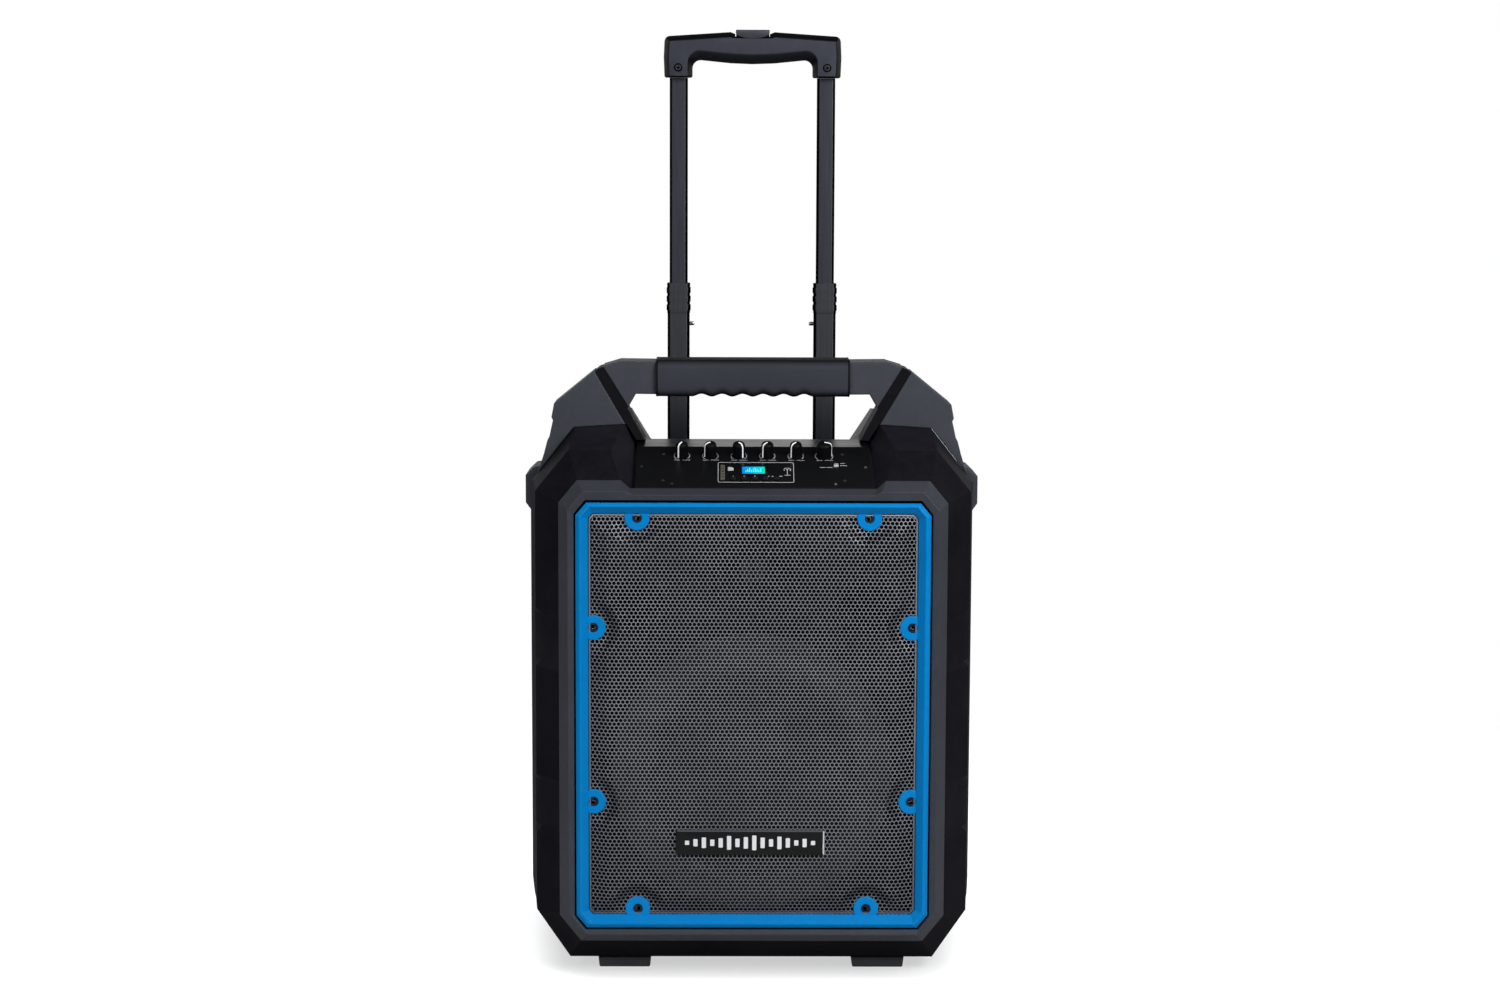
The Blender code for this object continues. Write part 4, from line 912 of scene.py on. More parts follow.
lathe("horn_driver_fine",
      [(0, 95.7), (24.0, 95.7), (25.0, 95.0), (31.0, 88.0), (31.0, 74.0), (29.0, 73.0),
       (29.0, 62.0), (28.0, 60.0), (0, 60.0)],
      (0, 0, HORN_Z), 48, FERRITE, piece="horn_driver")
for side, tag in SIDES:
    lathe(f"port_tube_{tag}_fine",
          [(PORT_R + 3.2, SEAT), (PORT_R + 3.2, 143.0), (PORT_R + 2.6, 144.0),
           (PORT_R + 1.0, 144.2), (PORT_R - 0.6, 143.0), (PORT_R - 1.8, 140.0),
           (PORT_R - 2.4, 135.0), (PORT_R - 2.4, 66.0), (PORT_R, 66.0), (PORT_R, SEAT)],
          (side * PORT_X, 0, PORT_Z), 64, HORN, piece="port_tube_" + tag)

# =========================== control panel ===================================
# The panel slopes up towards the back. Places on it are (x, distance up the slope from its
# front edge, height off the face).
PANEL_Y, PANEL_Z = -138.0, 465.5
SLOPE = math.atan2(31.0, 68.0)
COS, SIN = math.cos(SLOPE), math.sin(SLOPE)
PANEL_NORMAL = (0, -SIN, COS)


def on_panel(x, up_slope, height):
    return (x, PANEL_Y + up_slope * COS - height * SIN, PANEL_Z + up_slope * SIN + height * COS)


def panel_prism(name, outline, stations, material, **options):
    """Extrudes an outline off the panel through (height, inset) stations."""
    rings = [[on_panel(x, up_slope, height) for x, up_slope in offset_poly(outline, inset)]
             for height, inset in stations]
    return loft(name, rings, material, **options)


def panel_frame(name, outer, inner, low, high, material, slot):
    stations = ((outer, low), (outer, high), (inner, high), (inner, low))
    loft(name, [[on_panel(x, up_slope, height) for x, up_slope in outline]
                for outline, height in stations], material, cyclic=True, smooth=0, slot=slot)


def decal(name, outline, material=WHITE, base=0.0, thick=0.12, slot="control_panel"):
    panel_prism(name, outline, [(base - 0.1, 0), (base + thick, 0)], material, smooth=0, slot=slot)


def module_decal(name, outline, material=WHITE, base=1.0, thick=0.12):
    decal(name, outline, material, base, thick, slot="media_module")


# side view, (y, z)
PANEL_SIDE = [(PANEL_Y, PANEL_Z), (PANEL_Y + 1.2, PANEL_Z - 3.8), (-68.8, 492.3), (-25.3, 495.5),
              (-25.3, 499.4), (-70.0, 496.5)]
panel = loft("control_panel_fine", [[(x, y, z) for y, z in PANEL_SIDE] for x in (-109.6, 109.6)],
             PANEL, piece="control_panel", bevel=0.6, segments=3, angle=12)
panel.data.materials.append(DECK)
for face in panel.data.polygons:
    if face.normal.z > 0.97:
        face.material_index = 1

KNOB_FIRST_X, KNOB_PITCH, KNOB_UP = -66.7, 26.7, 57.4
# knob radius, gap to the printed ring, angle of the pointer from the front in degrees
KNOBS = [(5.95, 1.4, -34), (5.95, 1.4, -63), (5.95, 1.4, 39), (5.95, 1.4, -46), (5.95, 1.4, -48),
         (7.2, 1.1, 80)]


def knob_pointer(i, x, radius, degrees):
    """White pointer: up the side of the knob, then over the top to the middle."""
    normal = Vector(PANEL_NORMAL)
    turn = math.radians(degrees)
    outward = Vector((1, 0, 0)) * math.sin(turn) + Vector((0, -COS, -SIN)) * math.cos(turn)
    half_width = normal.cross(outward).normalized() * 0.66
    centre = Vector(on_panel(x, KNOB_UP, 0))
    # distance from the knob axis, height
    path = [(radius + 0.08, 0.6), (radius + 0.02, 4.0), (radius - 0.06, 10.6),
            (radius - 0.2, 12.0), (radius - 0.55, 13.1), (radius - 1.2, 14.0),
            (radius - 2.2, 14.7), (radius - 3.4, 15.0), (0.0, 15.15)]
    rings = []
    for reach, height in path:
        outer = centre + outward * reach + normal * height
        inner_reach = max(reach - (0.8 if height < 14.2 else 0.0), 0.0)
        inner_height = height - (0.7 if height > 12.5 else 0.0)
        inner = centre + outward * inner_reach + normal * inner_height
        rings.append([outer + half_width, outer - half_width, inner - half_width,
                      inner + half_width])
    loft(f"knob_pointer_{i}", rings, POINTER, body=f"dial_{i}", smooth=50, slot=f"knob_{i}")


for i, (radius, gap, degrees) in enumerate(KNOBS, start=1):
    x = KNOB_FIRST_X + (i - 1) * KNOB_PITCH
    lathe(f"knob_fine_{i}",
          [(0, 0.3), (radius, 0.3), (radius, 1.0), (radius - 0.03, 1.4), (radius - 0.08, 6.0),
           (radius - 0.12, 10.6), (radius - 0.2, 11.8), (radius - 0.5, 12.8),
           (radius - 1.1, 13.7), (radius - 2.2, 14.45), (radius - 3.4, 14.8), (0, 15.0)],
          on_panel(x, KNOB_UP, 0), 108, KNOB, axis=PANEL_NORMAL, body=f"dial_{i}",
          piece=f"knob_{i}", warp=notches(108, period=6, width=2, depth=0.03), smooth=38)
    knob_pointer(i, x, radius, degrees)
    # printed ring round the knob, open towards the front, and two dashes below it
    ring_r = radius + gap
    arc = [(x + ring_r * math.sin(t), KNOB_UP + ring_r * math.cos(t))
           for t in np.radians(np.linspace(-133, 133, 45))]
    decal(f"scale_arc_{i}", strip(arc, 0.50))
    for k, (start, end) in enumerate(((-7.2, -1.6), (0.7, 7.9))):
        decal(f"scale_dash_{i}_{k}", rect(x + start, x + end, 49.4, 49.9))

# media module
MODULE = fillet(rect(-32.9, 37.9, 7.6, 43.9), 2.2, 5)
module = panel_prism("media_module_fine", MODULE, [(0.3, 0), (0.85, 0), (1.0, 0.15)], GLOSS,
                     piece="media_module", smooth=40)
panel_frame("module_outline", MODULE, offset_poly(MODULE, 0.55), 0.9, 1.15, WHITE, "media_module")
KEY_X, KEY_UP = [-18.6, -8.6, 1.6, 11.4, 21.5], 13.6
BOX_FACES = [(0, 1, 2, 3), (4, 5, 6, 7), (0, 1, 5, 4), (1, 2, 6, 5), (2, 3, 7, 6), (3, 0, 4, 7)]
for x in KEY_X:
    opening = rect(x - 2.8, x + 2.8, KEY_UP - 2.3, KEY_UP + 2.3)
    subtract(module, [on_panel(a, b, height) for height in (-0.5, 3.0) for a, b in opening],
             BOX_FACES)
for i, x in enumerate(KEY_X, start=1):
    panel_prism(f"media_key_{i}",
                fillet(rect(x - 2.5, x + 2.5, KEY_UP - 2.0, KEY_UP + 2.0), 0.8, 4),
                [(1.3, 0), (2.5, 0), (2.85, 0.2), (3.0, 0.6)], KEY, body=f"key_{i}",
                piece=f"media_button_{i}", smooth=40)
# marks above the keys: number, x, width, height
MARK_UP = 18.7
for k, x, width, height in ((0, 14.3, 1.4, 1.0), (1, 17.9, 1.4, 1.0), (3, 25.5, 3.0, 1.0),
                            (4, -8.6, 1.2, 0.9), (5, 1.6, 1.2, 0.9), (6, -18.6, 1.2, 0.9)):
    module_decal(f"key_mark_{k}", rect(x - width / 2, x + width / 2,
                                       MARK_UP - height / 2, MARK_UP + height / 2))
panel_prism("lcd_window_fine", fillet(rect(-10.3, 10.8, 23.0, 34.8), 0.6, 3),
            [(1.3, 0), (1.75, 0), (1.9, 0.25)], LCD, piece="lcd_window", smooth=40)
panel_frame("lcd_surround", fillet(rect(-11.6, 12.1, 20.9, 36.6), 1.2, 3),
            fillet(rect(-10.5, 11.0, 21.9, 35.6), 0.7, 3), 0.95, 2.0, GLOSS, "media_module")
LCD_BAR = surface("lcd_bars", (0.10, 0.60, 0.70), rough=0.3, edge=0, glow=(0.05, 0.52, 0.80))
for k, height in enumerate((3, 5, 7, 4, 6, 8, 5, 3, 6)):
    x = k * 1.7 - 7.2
    decal(f"lcd_bar_{k}", rect(x, x + 1.0, 25.0, 25.0 + height), LCD_BAR, base=1.9, thick=0.1,
          slot="lcd_window")

# upright card slot and icons
card_slot = rect(-30.3, -26.4, 11.7, 38.5)
panel_frame("card_slot", fillet(card_slot, 0.6, 2), fillet(offset_poly(card_slot, 1.0), 0.3, 2),
            0.95, 1.5, SLOT_METAL, "media_module")
for k in range(5):
    module_decal(f"card_contact_{k}", rect(-29.1, -27.6, 13.6 + k * 4.9, 17.2 + k * 4.9),
                 SLOT_METAL, thick=0.2)
ICON_X, ICON_R, ICON_LINE = 31.7, 3.1, 0.6
icon_arc = [(ICON_X - ICON_R * math.cos(t), 30.6 + ICON_R * math.sin(t))
            for t in np.radians(np.linspace(-35, 215, 21))]
module_decal("module_icon_card", [(-23.5, 28.8), (-18.3, 28.8), (-18.3, 33.4), (-20.0, 35.1),
                                  (-23.5, 35.1)])
module_decal("module_icon_stem", strip([(ICON_X, 21.0), (ICON_X, 31.0)], ICON_LINE))
module_decal("module_icon_arm_a", strip(icon_arc, ICON_LINE))
module_decal("module_icon_arm_b", strip([(28.8, 20.6), (34.6, 20.6)], ICON_LINE))
module_decal("module_icon_foot", circle(ICON_X, 30.8, 0.9, 16), base=1.05)

# slide switch in its slot, and plain dashes (x from, x to, place up the slope)
panel_frame("switch_slot", fillet(rect(74.3, 80.7, 36.1, 45.1), 0.5, 3),
            fillet(rect(75.0, 80.0, 36.8, 44.4), 0.3, 3), -0.1, 0.28, GLOSS, "control_panel")
panel_prism("mode_slider_fine", fillet(rect(75.4, 79.6, 37.2, 40.4), 0.4, 3),
            [(0.3, 0), (1.2, 0), (1.45, 0.15), (1.6, 0.5)], WHITE, body="mode_slider",
            piece="mode_switch", smooth=40)
for k, (start, end, up_slope) in enumerate(((62.2, 67.7, 36.7), (68.4, 74.1, 36.7),
                                            (75.5, 79.7, 44.0), (81.4, 86.0, 44.3),
                                            (81.3, 87.8, 40.1))):
    decal(f"switch_mark_{k}", rect(start, end, up_slope - 0.3, up_slope + 0.3))
# screws: x, place up the slope, material
PANEL_SCREWS = [(-104.0, 37.4, PANEL_SCREW), (104.9, 36.9, STEEL), (76.0, 6.4, STEEL),
                (-83.7, 12.4, PANEL_SCREW), (-75.4, 6.5, PANEL_SCREW), (-84.0, 60.4, PANEL_SCREW),
                (83.7, 60.2, PANEL_SCREW), (84.6, 12.7, PANEL_SCREW)]
for k, (x, up_slope, material) in enumerate(PANEL_SCREWS):
    lathe(f"panel_screw_{k}", [(0, -0.2), (1.7, -0.2), (1.7, 0.45), (1.2, 0.8), (0.6, 0.85),
                               (0.5, 0.3), (0, 0.3)],
          on_panel(x, up_slope, 0), 24, material, axis=PANEL_NORMAL, slot="control_panel")

# =========================== inside ==========================================
BOARD_Y = 134.0
prism("amp_board_fine", fillet(rect(-65, 65, 128, 222), 2, 3), [(BOARD_Y, 0), (136.0, 0)], BOARD,
      piece="amplifier_board")
for k in range(14):                      # two rows of blocks of varied size
    x = -54 + (k % 7) * 18.0
    z = 150 if k < 7 else 196
    half_w, half_h, depth = 5 + (k * 3) % 5, 6 + (k * 5) % 7, 4 + (k * 7) % 9
    foot_y = BOARD_Y + 0.2
    prism(f"amp_part_{k:02d}",
          fillet(rect(x - half_w, x + half_w, z - half_h, z + half_h), 1.0, 2),
          [(foot_y - depth, 0.6), (foot_y + 0.6 - depth, 0), (foot_y, 0)],
          GLOSS if k % 3 else FERRITE, slot="amplifier_board")

BATTERY_Z, BATTERY_ROUND = (16.0, 80.0), 2.0
end_angles = [math.pi / 2 * k / 3 for k in range(4)]
low_end = [(BATTERY_Z[0] + BATTERY_ROUND * (1 - math.cos(a)), BATTERY_ROUND * (1 - math.sin(a)))
           for a in end_angles]
top_end = [(sum(BATTERY_Z) - z, inset) for z, inset in reversed(low_end)]
prism("battery_fine", fillet(rect(-75, 75, -5, 65), 4, 4), low_end + top_end, BATTERY, axis="z",
      piece="battery_pack")
for side, tag in ((-1, "a"), (1, "b")):
    lathe("battery_post_" + tag, [(0, 79.8), (4, 79.8), (4, 83), (2.5, 83.6), (0, 83.6)],
          (side * 52.0, 30.0, 0), 24, BRASS, axis=UP, slot="battery_pack")

# =========================== rear plate ======================================
ON_PLATE = dict(slot="rear_io_plate")
rear_plate = prism("rear_plate_fine", fillet(rect(-78, 78, 117, 233), 6, 5),
                   [(152.3, 0), (154.3, 0), (154.8, 0.3), (155.0, 0.9)], PANEL,
                   piece="rear_io_plate", smooth=40)
ROCKER_X, ROCKER_Z = 50.0, 205.0


def rocker_rect(half_w, half_h):
    return rect(ROCKER_X - half_w, ROCKER_X + half_w, ROCKER_Z - half_h, ROCKER_Z + half_h)


cut_prism(rear_plate, rocker_rect(10.4, 7.6), 150, 158)
# side view, (y, height from the middle)
ROCKER_SIDE = [(149.0, -6.6), (155.2, -7.0), (155.3, -3.0), (155.6, 0), (156.2, 3.2),
               (157.0, 6.6), (149.0, 6.6)]
prism("power_rocker_fine", [(y, ROCKER_Z + z) for y, z in ROCKER_SIDE],
      [(ROCKER_X - 10.0, 0.4), (ROCKER_X - 9.6, 0), (ROCKER_X + 9.6, 0), (ROCKER_X + 10.0, 0.4)],
      RED, axis="x", body="rocker", piece="power_rocker", smooth=30)
rocker_outer = fillet(rocker_rect(13.0, 10.0), 2.0, 4)
rocker_inner = fillet(rocker_rect(10.6, 7.8), 0.8, 4)
frame("rocker_bezel", [(rocker_outer, 154.6), (rocker_outer, 156.0), (rocker_inner, 156.4),
                       (rocker_inner, 154.6)], GLOSS, smooth=30, **ON_PLATE)
# mains inlet
inlet = fillet([(20, 140), (64, 140), (64, 168), (56, 176), (28, 176), (20, 168)], 2, 3)
inlet_inner = offset_poly(inlet, 4.0)
frame("mains_inlet", [(inlet, 154.6), (inlet, 156.6), (offset_poly(inlet, 0.8), 157.2),
                      (inlet_inner, 157.2), (inlet_inner, 153.5)], GLOSS, smooth=30, **ON_PLATE)
prism("mains_floor", offset_poly(inlet, 3.6), [(154.6, 0), (155.4, 0)], PANEL, **ON_PLATE)
for k, (x, z) in enumerate(((34.0, 153.0), (42.0, 159.0), (50.0, 153.0))):
    prism(f"mains_pin_{k}", rect(x - 1.0, x + 1.0, z, z + 7.0), [(155.2, 0), (156.8, 0)], STEEL,
          **ON_PLATE)
# round fittings: x, z, radius, ring material, core material
FITTINGS = [(-60, 206, 6.2, DARK_STEEL, BRASS), (-40, 206, 6.2, DARK_STEEL, BRASS),
            (-20, 206, 6.2, DARK_STEEL, STEEL), (0, 206, 4.2, DARK_STEEL, GLOSS),
            (-60, 168, 4.6, RED, BRASS), (-42, 168, 4.6, WHITE, BRASS),
            (-60, 150, 4.6, RED, BRASS), (-42, 150, 4.6, WHITE, BRASS)]
for k, (x, z, radius, ring_material, core_material) in enumerate(FITTINGS):
    lathe(f"socket_ring_{k}",
          [(radius, 154.8), (radius, 156.6), (radius - 0.5, 157.0), (radius - 1.8, 157.0),
           (radius - 2.0, 155.2), (radius - 2.2, 154.8)],
          (x, 0, z), 36, ring_material, axis=BACK, **ON_PLATE)
    lathe(f"socket_core_{k}",
          [(0, 154.8), (radius - 2.6, 154.8), (radius - 2.6, 155.6), (0, 155.6)],
          (x, 0, z), 24, core_material, axis=BACK, **ON_PLATE)
for k, (x, z) in enumerate(((-71, 124), (71, 124), (-71, 226), (71, 226), (0, 124), (0, 226))):
    lathe(f"plate_screw_{k}", [(0, 154.7), (3.0, 154.7), (3.0, 155.8), (2.2, 156.4), (1.2, 156.4),
                               (1.1, 155.6), (0, 155.6)],
          (x, 0, z), 20, DARK_STEEL, axis=BACK, **ON_PLATE)
# raised level bars above the plate and a raised panel on each side
for k in range(8):
    z = 262 + k * 13.0
    prism(f"rear_vent_{k}", fillet(rect(-70, 70, z, z + 5.0), 2.4, 5),
          [(151.4, 0), (153.0, 0), (153.8, 0.8)], CHARCOAL, slot="cabinet_rear_shell", smooth=35)
RAIL = [(110, 90), (168, 90), (176, 110), (176, 400), (150, 430), (110, 430)]
for side, tag in SIDES:
    prism("rear_rail_" + tag, fillet(on_side(RAIL, side), 6, 4),
          [(151.2, 0), (153.6, 0), (154.6, 1.0)], CHARCOAL, slot="cabinet_rear_shell", smooth=35)

# =========================== carry handle ====================================
# right half outlines, (x, z)
ARCH_OUTER = [(101.9, 500.0), (110.9, 500.0), (120.8, 515.7), (170.0, 512.7), (204.4, 469.0),
              (201.8, 476.2), (198.3, 487.0), (195.0, 499.6), (193.0, 503.6), (189.5, 519.2),
              (190.9, 521.8), (188.4, 535.0), (146.6, 568.8), (126.3, 575.2), (91.6, 574.8),
              (91.6, 573.2)]
ARCH_INNER = [(91.6, 548.6), (91.6, 544.4), (110.8, 544.6), (118.5, 530.9)]
SHOULDER = [(121.0, 515.4), (170.1, 512.4), (204.7, 468.4), (202.1, 476.3), (198.6, 487.1),
            (195.3, 499.8), (193.3, 503.7), (189.9, 519.2), (191.3, 521.9), (188.8, 535.2),
            (150.7, 566.2)]
BAR_COVER = [(91.4, 575.1), (91.4, 544.2), (111.0, 544.4), (117.2, 533.4), (118.4, 532.0),
             (142.4, 570.7), (126.4, 575.5)]
COVER_STATIONS = [(-50.0, 0.8), (-49.3, 0.0), (-6.7, 0.0), (-6.0, 0.8)]     # (y, inset)
arch = mirrored(ARCH_OUTER) + [(-x, z) for x, z in reversed(ARCH_INNER)] + ARCH_INNER
prism("handle_core", arch, [(-48.6, 0.7), (-48.2, 0.25), (-7.8, 0.25), (-7.4, 0.7)],
      HANDLE_BLACK, piece="carry_handle_frame", bevel=0.4)
for side, tag in SIDES:
    for name, outline in (("shoulder_cover_", SHOULDER), ("bar_cover_", BAR_COVER)):
        prism(name + tag, on_side(outline, side), COVER_STATIONS, CHARCOAL, bevel=0.4,
              slot="carry_handle_frame")

SLEEVE_END, SLEEVE_LOW, SLEEVE_R, END_ROUND = 91.3, 542.0, 9.0, 1.6
RIPPLE_PITCH, RIPPLE_REACH, RIPPLE_DEPTH = 19.5, 58.5, 2.6


def sleeve_ring(x, inset, radius, low=SLEEVE_LOW):
    outline = rect(-54.5 + inset, -1.5 - inset, low + inset, 577.0 - inset)
    return [(x, y, z) for y, z in fillet(outline, radius, 6)]


def sleeve_end(side, angles):
    rings = []
    for a in angles:
        inset = END_ROUND * (1 - math.sin(a))
        x = side * (SLEEVE_END - END_ROUND * (1 - math.cos(a)))
        rings.append(sleeve_ring(x, inset, SLEEVE_R - inset))
    return rings


# rubber sleeve with finger ripples underneath, hollow along its length
END_ANGLES = (0.0, 0.5, 1.0, math.pi / 2)
sleeve = sleeve_end(-1, END_ANGLES)
for x in np.linspace(END_ROUND - SLEEVE_END, SLEEVE_END - END_ROUND, 141)[1:-1]:
    low = SLEEVE_LOW
    if abs(x) < RIPPLE_REACH:
        low = 541.8 + RIPPLE_DEPTH * (0.5 - 0.5 * math.cos(2 * math.pi * x / RIPPLE_PITCH))
    sleeve.append(sleeve_ring(float(x), 0.0, SLEEVE_R, low))
sleeve += sleeve_end(1, END_ANGLES[::-1])
for x in (SLEEVE_END, -SLEEVE_END):
    sleeve.append([(x, y, z) for y, z in fillet(rect(-50.4, -5.6, 548.2, 573.6), 0.8, 6)])
loft("handle_sleeve", sleeve, RUBBER, cyclic=True, piece="carry_handle_grip", smooth=60)
# collars at its ends, (x, inset)
COLLAR = [(89.9, 0.3), (90.2, -0.15), (91.7, -0.15), (92.0, 0.3), (92.0, 3.0), (89.9, 3.0)]
for side, tag in SIDES:
    rings = [sleeve_ring(side * x, inset, SLEEVE_R - max(inset, 0) * 0.6) for x, inset in COLLAR]
    loft("sleeve_collar_" + tag, rings, HANDLE_BLACK, cyclic=True, slot="carry_handle_grip",
         smooth=35)


# =========================== trolley =========================================
def tube(name, x, levels, bore, material, corner, **options):
    """Upright hollow tube: levels are (z, width, depth), bore is (width, depth)."""
    def section(width, depth, radius, z):
        outline = rect(x - width / 2, x + width / 2, TUBE_Y - depth / 2, TUBE_Y + depth / 2)
        return [(a, b, z) for a, b in fillet(outline, radius, 8)]

    rings = [section(width, depth, corner, z) for z, width, depth in levels]
    rings += [section(*bore, corner - 1.4, levels[end][0]) for end in (-1, 0)]
    loft(name, rings, material, cyclic=True, smooth=30, **options)
    return bpy.data.objects[name]


PIN_Z = 602.0
MIDDLE_BORE = (18.8, 13.8)
# collar at the top of the middle tube, with three ribs: (z, width, depth)
COLLAR_LEVELS = [(612.4, 22.2, 17.2), (613.2, 22.8, 17.8)]
for k in range(3):
    z = 615.0 + k * 8.6
    COLLAR_LEVELS += [(z, 22.6, 17.8), (z + 0.7, 24.0, 17.8), (z + 5.6, 24.0, 17.8),
                      (z + 6.3, 22.6, 17.8)]
COLLAR_LEVELS += [(641.2, 23.2, 18.0), (642.2, 23.0, 17.8), (642.7, 22.0, 16.8)]
# outer tube in plan, open on its inner side: (x, y) from the tube axis
CHANNEL = [(-13, -2.6), (-13, -8.5), (-11, -10.5), (11, -10.5), (13, -8.5), (13, 8.5),
           (11, 10.5), (-11, 10.5), (-13, 8.5), (-13, 2.6), (-11.4, 2.6), (-11.4, 8.9),
           (11.4, 8.9), (11.4, -8.9), (-11.4, -8.9), (-11.4, -2.6)]
for side, tag in SIDES:
    x = side * TUBE_X
    inner_tube = tube(f"inner_tube_{tag}_fine", x, [(590.0, 18, 13), (845.7, 18, 13)], (15, 10),
                      TUBE_INNER, corner=3.0, body="inner_stage", piece="inner_tube_" + tag)
    wall_x = x - side * 9.0
    cut_prism(inner_tube, circle(TUBE_Y, PIN_Z, 2.3, 20), wall_x - 2.4, wall_x + 2.4, "x")
    lathe(f"lock_pin_{tag}_fine",
          [(0, 0.0), (0.9, 0.0), (1.5, 0.3), (1.9, 0.9), (2.0, 1.4), (2.0, 9.4), (0, 9.4)],
          (side * 57.4, TUBE_Y, PIN_Z), 28, STEEL, axis=(side, 0, 0), body="pin_" + tag,
          piece="lock_pin_" + tag)
    middle_tube = tube(f"middle_tube_{tag}_fine", x, [(448.0, 22, 17), (613.6, 22, 17)],
                       MIDDLE_BORE, TUBE_MIDDLE, corner=3.2, body="middle_stage",
                       piece="middle_tube_" + tag)
    wall_x = x - side * 11.0
    cut_prism(middle_tube, rect(wall_x - 3.0, wall_x + 3.0, TUBE_Y - 2.6, TUBE_Y + 2.6),
              440.0, 604.5, "z")
    tube("collar_" + tag, x, COLLAR_LEVELS, MIDDLE_BORE, TUBE_MIDDLE, corner=3.4,
         body="middle_stage", slot="middle_tube_" + tag)
    prism(f"outer_tube_{tag}_fine", [(x + side * a, TUBE_Y + b) for a, b in CHANNEL][::side],
          [(215.0, 0), (480.5, 0)], BLACK, axis="z", piece="outer_tube_" + tag, bevel=0.3)

# trolley grip: x, z, corner radius, rounding depth of the edge that starts here
GRIP_OUTLINE = [
    (59.6, 846.0, 2.0, 1.5), (87.4, 846.0, 2.0, 6.0), (88.2, 866.0, 0, 6.0),
    (87.2, 886.6, 5.6, 6.4), (21.8, 890.9, 0.8, 6.0), (17.4, 889.1, 0.5, 5.4),
    (-17.4, 889.1, 0.5, 6.0), (-21.8, 890.9, 0.8, 6.4), (-87.2, 886.6, 5.6, 6.0),
    (-88.2, 866.0, 0, 6.0), (-87.4, 846.0, 2.0, 1.5), (-59.6, 846.0, 2.0, 5.2),
    (-59.6, 864.2, 8.5, 10.0), (-22.0, 860.4, 0, 10.0), (0.0, 859.6, 0, 10.0),
    (22.0, 860.4, 0, 10.0), (59.6, 864.2, 8.5, 5.2)]
# y, share of the rounding depth; the front half, the back half mirrors it
GRIP_STATIONS = [(98.0, 1.0), (98.1, 0.93), (98.6, 0.85), (100.2, 0.72), (103.0, 0.5),
                 (106.8, 0.25), (109.5, 0.1), (112.0, 0.0)]
GRIP_STATIONS += [(2 * TUBE_Y - y, share) for y, share in reversed(GRIP_STATIONS)]


def grip_ring(y, share):
    """Insets every edge by its own depth times the share, then rounds the corners to suit."""
    lines = []
    for i, row in enumerate(GRIP_OUTLINE):
        start, end = Vector(row[:2]), Vector(GRIP_OUTLINE[(i + 1) % len(GRIP_OUTLINE)][:2])
        along = (end - start).normalized()
        inset = row[3] * share
        lines.append((start + Vector((-along.y, along.x)) * inset, along, inset))
    points, radii = [], []
    for i, row in enumerate(GRIP_OUTLINE):
        (start0, along0, inset0), (start1, along1, inset1) = lines[i - 1], lines[i]
        cross = along0.x * along1.y - along0.y * along1.x
        corner = start1
        if abs(cross) >= 1e-4:
            gap = start1 - start0
            corner = start0 + along0 * ((gap.x * along1.y - gap.y * along1.x) / cross)
        points.append((corner.x, corner.y))
        # outer corners tighten as they move in, inner corners open up
        change = -(inset0 + inset1) / 2 if cross > 0 else (inset0 + inset1) / 2 * 0.5
        radii.append(0 if row[2] == 0 else max(0.08, row[2] + change))
    return at_y(fillet(points, radii, 6), y)


grip = loft("trolley_grip_fine", [grip_ring(y, share) for y, share in GRIP_STATIONS], GRIP_SATIN,
            body="inner_stage", piece="trolley_grip", smooth=50)
cut_prism(grip, rect(-17.2, 17.2, 884.6, 900.0), 95.0, 125.0)
cut_prism(grip, rect(-17.2, 17.2, 873.8, 885.5), 100.4, 125.0)

# release button: a face with a curved lower edge, a cap behind it and a stem below
BUTTON_X = 16.7
button_top = [(BUTTON_X, 892.1), (16.2, 892.6), (-16.2, 892.6), (-BUTTON_X, 892.1)]
button_face = [(-BUTTON_X, 889.6)]
button_face += [(BUTTON_X * math.sin(t), 889.6 - 5.4 * math.cos(t))
                for t in np.radians(np.linspace(-80, 80, 19))]
button_face += [(BUTTON_X, 889.6)] + button_top
prism("release_button_fine", button_face, [(97.3, 0.4), (97.5, 0.1), (97.9, 0.0)], BUTTON,
      body="release", piece="release_button", smooth=40)
prism("release_button_cap", [(-BUTTON_X, 890.9), (BUTTON_X, 890.9)] + button_top,
      [(97.6, 0), (124.0, 0), (124.6, 0.4)], BUTTON, body="release", slot="release_button",
      smooth=40)
prism("release_button_stem", rect(-16.4, 16.4, 880.6, 891.2),
      [(100.9, 0.4), (101.3, 0), (124.2, 0)], BLACK, body="release", slot="release_button",
      smooth=40)
GRIP_SCREW_X, GRIP_SCREW_Z = 73.6, 855.6
ON_GRIP = dict(body="inner_stage", slot="trolley_grip")
for side, tag in SIDES:
    x, z = side * GRIP_SCREW_X, GRIP_SCREW_Z
    lathe("grip_screw_" + tag, [(0, 98.4), (2.9, 98.4), (2.9, 97.7), (2.6, 97.4), (0, 97.3)],
          (x, 0, z), 32, BUTTON, axis=BACK, **ON_GRIP)
    # dark ring round the screw and dark cross on it: painted shade of the recesses
    lathe("grip_screw_ring_" + tag, [(2.8, 97.4), (4.1, 97.4), (4.2, 98.4), (2.8, 98.4)],
          (x, 0, z), 32, RECESS_SHADE, axis=BACK, **ON_GRIP)
    for k, (half_w, half_h) in enumerate(((2.0, 0.62), (0.62, 2.0))):
        prism(f"grip_screw_cross_{tag}_{k}", rect(x - half_w, x + half_w, z - half_h, z + half_h),
              [(97.2, 0.0), (97.9, 0.0)], RECESS_SHADE, smooth=0, **ON_GRIP)

